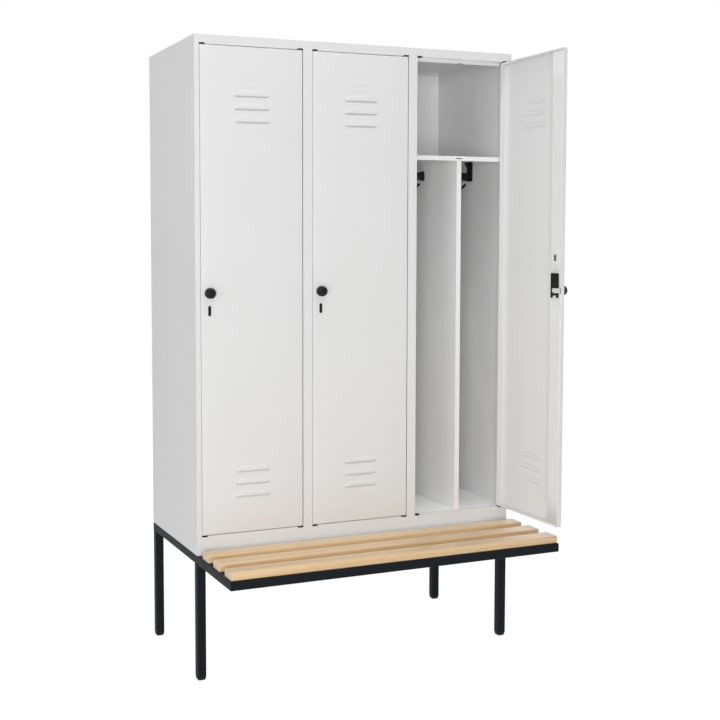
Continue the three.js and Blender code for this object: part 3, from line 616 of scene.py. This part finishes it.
def coatRail(shape, length):
    middle = length / 2
    rises = [(shape["start"], 0)]
    rises += [(middle + place, out) for place, out in shape["hub"]]
    rises += [(length - place, out) for place, out in shape["socket"]]
    places, out = np.array(rises).T
    radius = shape["thickness"] / 2 - roundSlack
    loops = drawnLoops(shape["thickness"], shape["height"], radius, -out, shape["steps"])
    skin = Skin().solid(stacked(loops, places, (1, 2, 0)))

    bottom = -shape["height"] / 2 - shape["collar"]
    places, drawn = softEnds(shape["bracketBack"], shape["bracketFace"], shape["bracketSoft"])
    loops = drawnLoops(shape["bracketWidth"], shape["bracketUp"] - bottom, shape["bracketCorner"],
                       drawn)
    centre = (0, (bottom + shape["bracketUp"]) / 2)
    skin.solid(stacked(loops, places, (1, 2, 0), centre))

    t = np.linspace(0, 1, shape["prongSteps"])
    radius, face = shape["prongRadius"], shape["bracketFace"]
    start = np.array([face - radius, shape["prongFoot"] - radius])
    end = np.array([face + shape["prongReach"], shape["prongFoot"] + shape["prongRise"]])
    radii = radius * (shape["prongRoot"] - (shape["prongRoot"] - 1) * t)
    skin.grid(roundArm(start + t[:, None] * (end - start), radii), closed=True, capped=(0,))

    # the two hooks hang from the rail's lower side and are thinnest on the way up
    top = -shape["height"] / 2
    drop, reach = shape["hookDrop"], shape["hookReach"]
    t = np.linspace(0, 1, shape["hookSteps"])
    thin = np.sin(t * np.pi * shape["hookThinAt"])
    radii = shape["hookRadius"] * (shape["hookThick"] - shape["hookTaper"] * thin)
    for side in (-1, 1):
        path = bezier(np.array([middle, top + shape["hookSink"]]),
                      np.array([middle, top - drop * shape["hookDown"]]),
                      np.array([middle + side * reach * shape["hookOut"],
                                top - drop * shape["hookUnder"]]),
                      np.array([middle + side * reach, top - shape["hookTip"]]), len(t))
        skin.grid(roundArm(path, radii), closed=True, capped=(0,))
    return skin


def makeCoatRail(name, shape, isLeft, wall, divider, depth, height):
    length = abs(divider - wall)
    way = 1 if isLeft else -1

    def move(points):
        return inUnit(points * np.array([way, way, 1]) + np.array([wall, depth, height]))

    makePiece(name + "_moulding", coatRail(shape, length), "cabinet", "black_plastic", [name],
              move, sharp=50)


for number in numbers:
    for side in ("left", "right"):
        name = f"coat_rail_{number}_{side}"
        low, high = nodeBox(name)
        isLeft, gap = side == "left", railShape["wallGap"]
        # the bracket's back is clear of the wall by the thickness of the shelf's flange
        wall, divider = (low[0] - gap, high[0]) if isLeft else (high[0] + gap, low[0])
        makeCoatRail(name, railShape, isLeft, wall, divider, (low[1] + high[1]) / 2,
                     high[2] - railShape["bracketUp"])
print("coat rails made")

# doors, in their own directions from the hinge axis: X to the free edge is negative, the outer
# face looks to -Y, and Z starts at the door's lower edge

doorShape = {
    "hinges": (374.2, 774.2, 1174.2), "hingeDepth": 8.4, "bottom": 66.0, "openDoor": 3,
    "freeEdge": -355.2, "hingeEdge": 6.8, "height": 1602.0, "outerFace": -8.4, "innerFace": 9.6,
    "bend": 1.8, "bendSteps": 6, "sheet": 1.0, "endLip": 8.0, "hingeLip": 17.0,
    "boltLow": 790.2, "boltHigh": 809.8, "boltFloor": 5.9,
}
louverShape = {
    "middle": -174.2, "bottomWidth": 124.0, "topWidth": 92.0, "height": 18.5, "raise": 1.5,
    "endRun": 0.11, "topRun": 0.20, "cornerRise": 4.0, "curlFrom": 0.86,
    "groups": (120.0, 1358.0), "perGroup": 3, "pitch": 42.0,
    "endSteps": 10, "crossSteps": 15, "lowSteps": 4, "topSteps": 9,
}


def onDoor(number):
    # rest place of a door: shut, or turned a quarter about its hinge
    x = doorShape["hinges"][number - 1]
    isOpen = number == doorShape["openDoor"]

    def move(points):
        placed = points[:, [1, 0, 2]] * np.array([-1, 1, 1]) if isOpen else points
        return inUnit(placed + np.array([x, doorShape["hingeDepth"], doorShape["bottom"]]))

    return move


def pressed(run):
    # 0 at the foot of a pressed slope and 1 from its top on: a smooth S between them
    run = np.clip(run, 0, 1)
    return run * run * (3 - 2 * run)


def foldedWay(low, high, inside, door, lowLip, highLip):
    # places across a pan's skin and how deep each lies: in from the lip, up the side, round the
    # bend, over the face and down again; lip goes from 0 at the edge to 1 at the lip's end
    bend, depth = door["bend"], door["innerFace"] - door["outerFace"]
    turn = np.linspace(np.pi / 2, 0, door["bendSteps"])
    inset = bend * (1 - np.sin(turn))
    deep = bend * (1 - np.cos(turn))
    place = np.concatenate([[low + lowLip, low], low + inset, inside, high - inset[::-1],
                            [high, high - highLip]])
    depths = np.concatenate([[depth, depth], deep, 0 * inside, deep[::-1], [depth, depth]])
    lip = np.zeros(len(place))
    lip[[0, -1]] = 1
    return place, depths, lip


def louverColumns(shape):
    run = shape["endRun"]
    ends = np.linspace(0, run, shape["endSteps"])
    between = np.linspace(-1 + run, 1 - run, shape["crossSteps"])[1:-1]
    across = np.concatenate([-1 + ends, between, 1 - ends[::-1]])
    return shape["middle"] + across * shape["bottomWidth"] / 2


def louverRows(shape, z):
    # rows of one louver: its height, how wide the columns stand, how much it is raised and how far
    # its corners are lifted there; the first raised row shares its place with a flat one, and the
    # slit is between them
    run = shape["topRun"]
    up = np.concatenate([np.linspace(0, 1 - run, shape["lowSteps"])[:-1],
                         np.linspace(1 - run, 1, shape["topSteps"])])
    width = 1 - up * (1 - shape["topWidth"] / shape["bottomWidth"])
    lift = pressed((1 - up) / run)
    rise = shape["cornerRise"] * (1 - up)
    margin = shape["height"] / 2
    return np.array([
        np.concatenate([[z - margin, z], z + up * shape["height"], [z + shape["height"] + margin]]),
        np.concatenate([[1, 1], width, [1]]),
        np.concatenate([[0, 0], lift, [0]]),
        np.concatenate([[0, shape["cornerRise"]], rise, [0]]),
    ])


def doorPanel(door, louver):
    # the skin of a folded pan: at each point of the grid the deeper of the two folds, crosswise and
    # upwards, less what the louvers raise it; each lip's ends are mitred back by the other, and the
    # free side has a notch where the bolt comes out
    rows = [louverRows(louver, z + i * louver["pitch"])
            for z in louver["groups"] for i in range(louver["perGroup"])]
    notch = np.array([[door["boltLow"], door["boltHigh"]], [1, 1], [0, 0], [0, 0]])
    rows.insert(louver["perGroup"], notch)
    rows = np.concatenate(rows, axis=1)
    endLip, hingeLip = door["endLip"], door["hingeLip"]
    x, depthX, lipX = foldedWay(door["freeEdge"], door["hingeEdge"], louverColumns(louver), door,
                                0, hingeLip)
    lipX[0] = 0
    depthX[1] = door["boltFloor"] - door["outerFace"]
    z, depthZ, lipZ = foldedWay(0, door["height"], rows[0], door, endLip, endLip)
    pad = (len(z) - rows.shape[1]) // 2
    width, lift, rise = (np.pad(row, pad, constant_values=value)
                         for row, value in zip(rows[1:], (1, 0, 0)))

    across = (x - louver["middle"]) / (louver["bottomWidth"] / 2)
    isLouver = np.abs(across) <= 1 + near
    run = pressed((1 - np.abs(across)) / louver["endRun"]) * isLouver
    curl = (np.abs(across) - louver["curlFrom"]) / (1 - louver["curlFrom"])
    curl = np.clip(curl, 0, 1) ** 2 * isLouver
    depth = np.maximum(depthX, depthZ[:, None]) - louver["raise"] * lift[:, None] * run
    gridX = louver["middle"] + (x - louver["middle"]) * np.where(isLouver, width[:, None], 1)
    gridX = np.clip(gridX, door["freeEdge"], door["hingeEdge"] - hingeLip * lipZ[:, None])
    gridZ = z[:, None] + rise[:, None] * curl
    gridZ = np.clip(gridZ, endLip * lipX, door["height"] - endLip * lipX)
    keep = np.ones((len(z) - 1, len(x) - 1), bool)
    keep[np.flatnonzero((np.diff(z) == 0) & (np.diff(lift) > 0.5))] = False
    keep[np.flatnonzero(z == door["boltLow"]), 0] = False
    return Skin().grid(np.stack([gridX, door["outerFace"] + depth, gridZ], axis=-1), keep=keep)


labelShape = {
    "width": 60.0, "height": 26.0, "rim": 2.5, "raise": 0.9, "corner": 3.0, "bottom": 1472.0,
    "steps": 7, "sink": 0.3,
}


def labelRim(shape, door, middle):
    # a low bead pressed up round the label's place: half a wave high across the rim, and closed
    # below inside the door's sheet
    across = np.linspace(0, shape["rim"], shape["steps"])
    out = shape["raise"] * np.sin(np.pi * across / shape["rim"])
    loops = drawnLoops(shape["width"], shape["height"], shape["corner"], across)
    centre = (middle, shape["bottom"] + shape["height"] / 2)
    points = stacked(loops, door["outerFace"] - out, (0, 2, 1), centre)
    points[[0, -1], :, 1] += shape["sink"]
    return Skin().grid(np.concatenate([points, points[:1]]), closed=True)


stiffenerShape = {
    "edge": -354.2, "flank": -300.2, "slope": 19.0, "foot": 1.2, "return": 9.0, "endGap": 8.3,
    "bend": 1.5, "caseLeft": -348.5, "caseRight": -302.9, "caseLow": 784.6, "caseHigh": 858.3,
    "caseSteps": 11, "lowSteps": 9, "highSteps": 8,
    "ovalX": -325.7, "ovalZ": 910.0, "ovalWidth": 15.0, "ovalHeight": 22.0, "ovalSteps": 13,
    "ovalSides": 1.6, "ovalRings": (0, 0.25, 1),
}


def bentPath(points, radius, steps=4):
    # a polyline with each corner turned into an arc of the given radius
    points = np.asarray(points, dtype=float)
    out = [points[:1]]
    for before, corner, after in zip(points, points[1:], points[2:]):
        a = (before - corner) / np.linalg.norm(before - corner)
        b = (after - corner) / np.linalg.norm(after - corner)
        half = math.acos(np.clip(a @ b, -1, 1)) / 2
        reach = radius / math.tan(half)
        centre = corner + (a + b) / np.linalg.norm(a + b) * radius / math.sin(half)
        start, end = corner + a * reach - centre, corner + b * reach - centre
        t = np.linspace(0, 1, steps + 1)[:, None]
        sweep = math.acos(np.clip(start @ end / radius ** 2, -1, 1))
        arms = np.sin((1 - t) * sweep) * start + np.sin(t * sweep) * end
        out.append(centre + arms / math.sin(sweep))
    out.append(points[-1:])
    return np.concatenate(out)


def doorStiffener(shape, door):
    # a folded strip carried up the door: return, inner face and sloping flank; the lock case and
    # its bolt have their places cut out, and so has the square that the oval hole lies in
    face = door["innerFace"]
    edge, flank = shape["edge"], shape["flank"]
    path = bentPath([(edge, face - shape["return"]), (edge, face), (flank, face),
                     (flank + shape["slope"], door["outerFace"] + shape["foot"])], shape["bend"])
    path = np.insert(path, 1, (edge, door["boltFloor"]), axis=0)
    isFlat = np.flatnonzero(np.abs(path[:, 1] - face) < near)
    first, last = isFlat[0], isFlat[-1]
    caseX = np.linspace(shape["caseLeft"], shape["caseRight"], shape["caseSteps"])
    xs = np.concatenate([[path[first, 0]], caseX, [path[last, 0]]])
    faceWay = np.stack([xs, np.full(len(xs), face)], axis=1)
    path = np.concatenate([path[:first], faceWay, path[last + 1:]])
    zs = shape["ovalZ"] + np.linspace(-shape["ovalHeight"], shape["ovalHeight"], shape["ovalSteps"])
    low, high = shape["endGap"], door["height"] - shape["endGap"]
    cuts = [shape["caseLow"], door["boltLow"], door["boltHigh"], shape["caseHigh"]]
    z = np.concatenate([np.linspace(low, cuts[0], shape["lowSteps"])[:-1], cuts, zs,
                        np.linspace(zs[-1], high, shape["highSteps"])[1:]])
    points = np.zeros((len(z), len(path), 3))
    points[..., [0, 1]] = path
    points[..., 2] = z[:, None]
    caseLow, boltLow, boltHigh, caseHigh = np.searchsorted(z, cuts)
    ovalLow, ovalHigh = np.searchsorted(z, zs[[0, -1]])
    end = first + len(xs) - 1
    keep = np.ones((len(z) - 1, len(path) - 1), bool)
    keep[caseLow:caseHigh, first + 1:end - 1] = False
    keep[boltLow:boltHigh, 1:first + 1] = False
    keep[ovalLow:ovalHigh, first:end] = False
    skin = Skin().grid(points, keep=keep)
    return skin.grid(ovalHole(shape, xs, zs, face), closed=True)


def ovalHole(shape, xs, zs, face):
    # rings of points from an oval hole with straight sides out to the square left open for it
    wide, tall = len(xs) - 1, len(zs) - 1
    square = np.concatenate([
        np.stack([xs[:-1], np.full(wide, zs[0])], axis=1),
        np.stack([np.full(tall, xs[-1]), zs[:-1]], axis=1),
        np.stack([xs[:0:-1], np.full(wide, zs[-1])], axis=1),
        np.stack([np.full(tall, xs[0]), zs[:0:-1]], axis=1)])
    middle = np.array([shape["ovalX"], shape["ovalZ"]])
    away = square - middle
    angle = np.arctan2(away[:, 1], away[:, 0])
    radius = shape["ovalWidth"] / 2
    oval = radius * np.stack([np.cos(angle), np.sin(angle)], axis=1)
    straight = shape["ovalHeight"] / 2 - radius
    oval[:, 1] += straight * np.clip(np.sin(angle) * shape["ovalSides"], -1, 1)
    oval += middle
    t = np.array(shape["ovalRings"])[:, None, None]
    ring = np.zeros((len(t), len(square), 3))
    ring[..., [0, 2]] = oval + (square - oval) * t
    ring[..., 1] = face
    return ring


coveShape = {"reach": 52.0, "depth": 14.5, "sink": 0.3, "steps": 20}


def hingeCove(shape, door):
    # the stiffening inside the hinge edge: a quarter of an ellipse hollowed from the edge to the
    # skin, closed behind along both
    sheet, sink = door["sheet"], shape["sink"]
    skin, edge = door["outerFace"] + sheet - sink, door["hingeEdge"] - sheet + sink
    turn = np.linspace(0, np.pi / 2, shape["steps"] + 1)
    x = edge - shape["reach"] * (1 - np.sin(turn))
    y = skin + shape["depth"] * (1 - np.cos(turn))
    x, y = np.append(x, edge), np.append(y, skin)
    points = np.zeros((2, len(x), 3))
    points[..., 0], points[..., 1] = x, y
    points[..., 2] = np.array([[sheet], [door["height"] - sheet]])
    return Skin().solid(points)


# each door's inner side, hinge cove and strip take the lighter lining coat, which is painted light
for number in numbers:
    body, move = f"door_{number}", onDoor(number)
    makePiece(f"door_skin_{number}", doorPanel(doorShape, louverShape), body, "white_paint",
              [f"door_panel_{number}"], move, shell=False, sharp=30, wall=doorShape["sheet"],
              lining=paintedLightLiningCoat)
    makePiece(f"hinge_cove_{number}", hingeCove(coveShape, doorShape), body, "white_paint", [],
              move, finish=paintedLightLiningCoat)
    makePiece(f"label_rim_{number}", labelRim(labelShape, doorShape, louverShape["middle"]), body,
              "white_paint", [], move, shell=False, sharp=60)
    makePiece(f"door_strip_{number}", doorStiffener(stiffenerShape, doorShape), body,
              "white_paint", [f"door_stiffener_{number}"], move, shell=False, finish=paintedLightLiningCoat,
              wall=-doorShape["sheet"])
print("doors made")

# dark pads in the black plastic finish, in the notches at the corners of each opening, where the
# gaps under and over the doors lie in shade: painted shade

shadowPadShape = {
    "left": (17.5, 36.5), "right": (361.0, 383.5), "front": 0.9, "back": 16.0, "height": 4.9,
    "corner": 1.2, "soft": 0.6, "ends": (("bottom", 60.0, 1), ("top", 1674.0, -1)), "pitch": 400.0,
}


def makeShadowPad(name, shape, left, right, z, up):
    ends, drawn = softEnds(0, shape["height"], shape["soft"])
    front, back = shape["front"], shape["back"]
    loops = drawnLoops(right - left, back - front, shape["corner"], drawn)
    centre = ((left + right) / 2, (front + back) / 2)
    points = stacked(loops, z + up * ends, (0, 1, 2), centre)
    makePiece(name, Skin().solid(points), "cabinet", "black_plastic", [])


for number in numbers:
    for end, z, up in shadowPadShape["ends"]:
        for side in ("left", "right"):
            left, right = np.array(shadowPadShape[side]) + (number - 1) * shadowPadShape["pitch"]
            makeShadowPad(f"pad_{number}_{end}_{side}", shadowPadShape, left, right, z, up)
print("pads made")

# locks, with X and Z from the knob's axis and Y as on the door

lockShape = {"x": -325.7, "z": 800.0}


def onLock(number):
    place = onDoor(number)
    return lambda points: place(points + np.array([lockShape["x"], 0, lockShape["z"]]))


knobShape = {
    "diameter": 35.0, "out": 26.0, "drum": 10.0, "foot": 1.2, "footIn": 2.0, "rim": 10.0,
    "rimWidth": 1.4, "face": 6.5, "sunk": 4.0, "faceLip": ((0.5, 0.7), (0.15, 0.15), (-0.3, 0)),
    "gap": 0.3, "shaft": 9.0, "shaftIn": 8.0, "camRadius": 12.0, "cam": (4.2, 5.9),
    "keyLength": 8.0, "keyWidth": 1.7, "keySlack": 0.05, "keyDepth": 4.0, "keyFlare": 1.12,
    "keyLip": 0.2,
    "pin": (6.0, -6.0), "pinRadius": 1.7, "pinIn": 1.0, "pinReach": 8.8, "pinSides": 24,
    "edgeSteps": 5, "domeSteps": 19, "keySteps": 15,
}


def turnKnob(shape, door):
    # a turned knob: a drum with a small foot radius, a shoulder like a quarter of an ellipse, a
    # soft rim round the sunk key face with the key's slot, and behind it the cam disc with the pin
    outer = door["outerFace"]
    radius, rim, face, out = shape["diameter"] / 2, shape["rim"], shape["face"], shape["out"]
    foot, width, keyOut = shape["foot"], shape["rimWidth"], shape["out"] - shape["sunk"]
    gap, drum = shape["gap"], shape["drum"]
    edge = np.linspace(-np.pi / 2, 0, shape["edgeSteps"])
    climb = np.linspace(0, np.pi / 2, shape["domeSteps"])
    over = np.linspace(0, np.pi / 2, shape["edgeSteps"])[1:]
    lip = np.array(shape["faceLip"])
    radii = np.concatenate([[shape["shaft"], shape["shaft"], radius - shape["footIn"]],
                            radius - foot + foot * np.cos(edge),
                            rim + (radius - rim) * np.cos(climb), rim - width * np.sin(over),
                            face + lip[:, 0]])
    outs = np.concatenate([[-shape["shaftIn"], gap, gap], gap + foot + foot * np.sin(edge),
                           drum + (out - drum) * np.sin(climb), out - width * (1 - np.cos(over)),
                           keyOut + lip[:, 1]])
    slot = roundedLoop(shape["keyWidth"], shape["keyLength"],
                       shape["keyWidth"] / 2 - shape["keySlack"], shape["keySteps"])
    keyOuts = np.array([keyOut, keyOut - shape["keyLip"], keyOut - shape["keyDepth"]])
    key = stacked(np.stack([slot * shape["keyFlare"], slot, slot]), outer - keyOuts, (0, 2, 1))
    skin = Skin().solid(np.concatenate([turned(radii, outer - outs), key]))
    cam = shape["cam"]
    skin.solid(turned([shape["camRadius"]] * 2, cam))
    pin = turned([shape["pinRadius"]] * 2, (cam[0] + shape["pinIn"], shape["pinReach"]),
                 shape["pinSides"], shape["pin"])
    return skin.solid(pin)


boltShape = {
    "tip": -25.0, "tail": 16.0, "half": 9.5, "front": 6.2, "back": 9.2, "tipRadius": 1.5,
    "tailRadius": 8.0, "forkX": 6.0, "forkRadius": 2.2, "forkTop": -6.0, "edge": 0.35,
}


def arc(x, z, radius, start, end, steps=10):
    angle = np.radians(np.linspace(start, end, steps + 1))
    return np.stack([x + radius * np.cos(angle), z + radius * np.sin(angle)], axis=1)


def slideBolt(shape):
    # a flat bar's outline: square tip, round tail, and the fork for the knob's pin cut into its
    # lower edge, from which the tail's arc starts a degree on
    half, tip, tail = shape["half"], shape["tipRadius"], shape["tailRadius"]
    fork, forkX = shape["forkRadius"], shape["forkX"]
    tipX, tailX = shape["tip"] + tip, shape["tail"] - tail
    outline = np.concatenate([
        arc(tipX, -half + tip, tip, 180, 270, 4), [(forkX - fork, -half)],
        arc(forkX, shape["forkTop"], fork, 180, 0), [(forkX + fork, -half)],
        arc(tailX, -half + tail, tail, 271, 360, 9), arc(tailX, half - tail, tail, 0, 90),
        arc(tipX, half - tip, tip, 90, 180, 4)])
    points = stacked(np.stack([outline, outline]), (shape["front"], shape["back"]), (0, 2, 1))
    return Skin().solid(points)


caseShape = {
    "half": 22.5, "low": -24.5, "high": 58.0, "front": -5.4, "back": 10.6, "border": 4.6,
    "topBorder": 2.5, "borderDrop": 0.7, "channel": 5.9, "windowHalf": 8.3, "windowEnd": 15.1,
    "windowCorner": 8.0, "cavityLow": -15.8, "cavityDepth": 2.0, "notchHalf": 10.0,
    "notchTop": -16.5, "wall": 0.35, "cornerX": (7, 14, 8), "cornerZ": (-8, 8, 17),
}


def lockCase(shape):
    # a relief over a grid: border, raised middle, the bolt's channel, the cavity under it and the
    # notch, each step as one steep cell; the back is flat, and the notch goes right through
    wall, half, border = shape["wall"], shape["half"], shape["half"] - shape["border"]
    low, high, notch, notchTop = shape["low"], shape["high"], shape["notchHalf"], shape["notchTop"]
    windowHalf, windowEnd, cavityLow = shape["windowHalf"], shape["windowEnd"], shape["cavityLow"]

    def stepped(lows, highs, between):
        # each step's place and one a wall further in, and evenly spaced ones for the round corners
        lows, highs = np.array(lows), np.array(highs)
        return np.unique(np.concatenate([lows, lows + wall, highs, highs - wall,
                                         np.linspace(*between)]))

    x = stepped([-half, -border, -notch], [half, border, notch, windowEnd], shape["cornerX"])
    z = stepped([low, cavityLow, -windowHalf], [high, notchTop, windowHalf], shape["cornerZ"])
    gridX, gridZ = np.meshgrid(x, z)
    across, aside = np.abs(gridX), np.abs(gridZ)
    level = np.full(gridX.shape, shape["back"] - shape["borderDrop"])
    level[(across < border - wall + near) & (gridZ < high - shape["topBorder"])] = shape["back"]
    corner = shape["windowCorner"]
    roundX = np.clip(gridX - (windowEnd - corner), 0, None)
    roundZ = np.clip(aside - (windowHalf - corner), 0, None)
    inWindow = (gridX < windowEnd - wall + near) & (aside < windowHalf - wall + near)
    level[inWindow & (np.hypot(roundX, roundZ) < corner + near)] = shape["channel"]
    isNarrow = across < notch - wall + near
    inCavity = isNarrow & (gridZ > cavityLow + wall - near) & (gridZ < -windowHalf + wall + near)
    level[inCavity] = shape["channel"] - shape["cavityDepth"]
    level[isNarrow & (gridZ < notchTop - wall + near)] = shape["front"]
    level[(across > half - near) | (gridZ < low + near) | (gridZ > high - near)] = shape["front"]
    isThrough = level == shape["front"]
    keep = ~(isThrough[:-1, :-1] & isThrough[:-1, 1:] & isThrough[1:, :-1] & isThrough[1:, 1:])
    points = np.stack([gridX, level, gridZ], axis=-1)
    flat = points.copy()
    flat[..., 1] = shape["front"]
    return Skin().grid(points[:, ::-1], keep=keep[:, ::-1]).grid(flat, keep=keep)


# the plug's profile: how far its outline is drawn in, and how far out it stands there

plugShape = {
    "width": 10.5, "height": 34.0, "below": 57.8, "steps": 8,
    "profile": ((0, -2.0), (0, 0.1), (0.15, 0.45), (0.5, 0.6), (1.1, 0.6), (1.6, 0.1), (2.6, 0.25)),
}


def slotPlug(shape, door):
    # an upright plug with round ends, a soft edge and a shallow dish along its middle
    drawn, out = np.array(shape["profile"]).T
    loops = drawnLoops(shape["width"], shape["height"], shape["width"] / 2 - roundSlack, drawn,
                       shape["steps"])
    points = stacked(loops, door["outerFace"] - out, (0, 2, 1), (0, -shape["below"]))
    return Skin().solid(points)


for number in numbers:
    move = onLock(number)
    door = f"door_{number}"
    makePiece(f"knob_turning_{number}", turnKnob(knobShape, doorShape), f"knob_body_{number}",
              "black_plastic", [f"knob_{number}"], move, sharp=30)
    makePiece(f"bolt_bar_{number}", slideBolt(boltShape), f"bolt_body_{number}", "steel",
              [f"lock_bolt_{number}"], move, bevel=boltShape["edge"])
    makePiece(f"case_moulding_{number}", lockCase(caseShape), door, "black_plastic",
              [f"lock_case_{number}"], move, shell=False)
    makePiece(f"plug_moulding_{number}", slotPlug(plugShape, doorShape), door, "black_plastic",
              [f"slot_plug_{number}"], move)
print("locks made")

# folded sheet parts keep their solids' shape: a merged copy of each gets the small radius of bent,
# painted sheet on every fold and edge

sheetShape = {"radius": 0.45, "flat": 1, "sharp": 30}
outsideSheets = ["side_left", "side_right", "top_panel", "front_rail_bottom", "front_rail_top",
                 "stile_left", "stile_1", "stile_2", "stile_right"]
insideSheets = ["back_panel", "floor_panel", "inner_wall_1", "inner_wall_2"]
fittedSheets = [f"{kind}_{number}" for kind in ("hat_shelf", "divider") for number in numbers]


def makeSheet(name, shape, finish):
    mesh = nodes[name].data.copy()
    mesh.name = name + "_sheet"
    work = bmesh.new()
    work.from_mesh(mesh)
    bmesh.ops.remove_doubles(work, verts=work.verts, dist=mergeReach)
    bmesh.ops.dissolve_limit(work, angle_limit=math.radians(shape["flat"]), verts=work.verts,
                             edges=work.edges)
    work.to_mesh(mesh)
    work.free()
    dressPiece(name + "_sheet", mesh, "cabinet", "white_paint", [name], finish,
               sharp=shape["sharp"], bevel=shape["radius"])


for name in outsideSheets:
    makeSheet(name, sheetShape, finishes["white_paint"])
# the back, floor and inner walls take the lighter inside coat, which is painted light
for name in insideSheets:
    makeSheet(name, sheetShape, paintedLightInsideCoat)
# the hat shelves and dividers take the lighter lining coat, which is painted light
for name in fittedSheets:
    makeSheet(name, sheetShape, paintedLightLiningCoat)
print("sheet parts made")

# the CAD's own nodes get their slots' finishes

slotOf = {entry["node"]: entry["material_slot"] for entry in frame["record"]["subparts"]}
for name, node in nodes.items():
    node.data.materials.clear()
    node.data.materials.append(finishes[slotOf[name]])
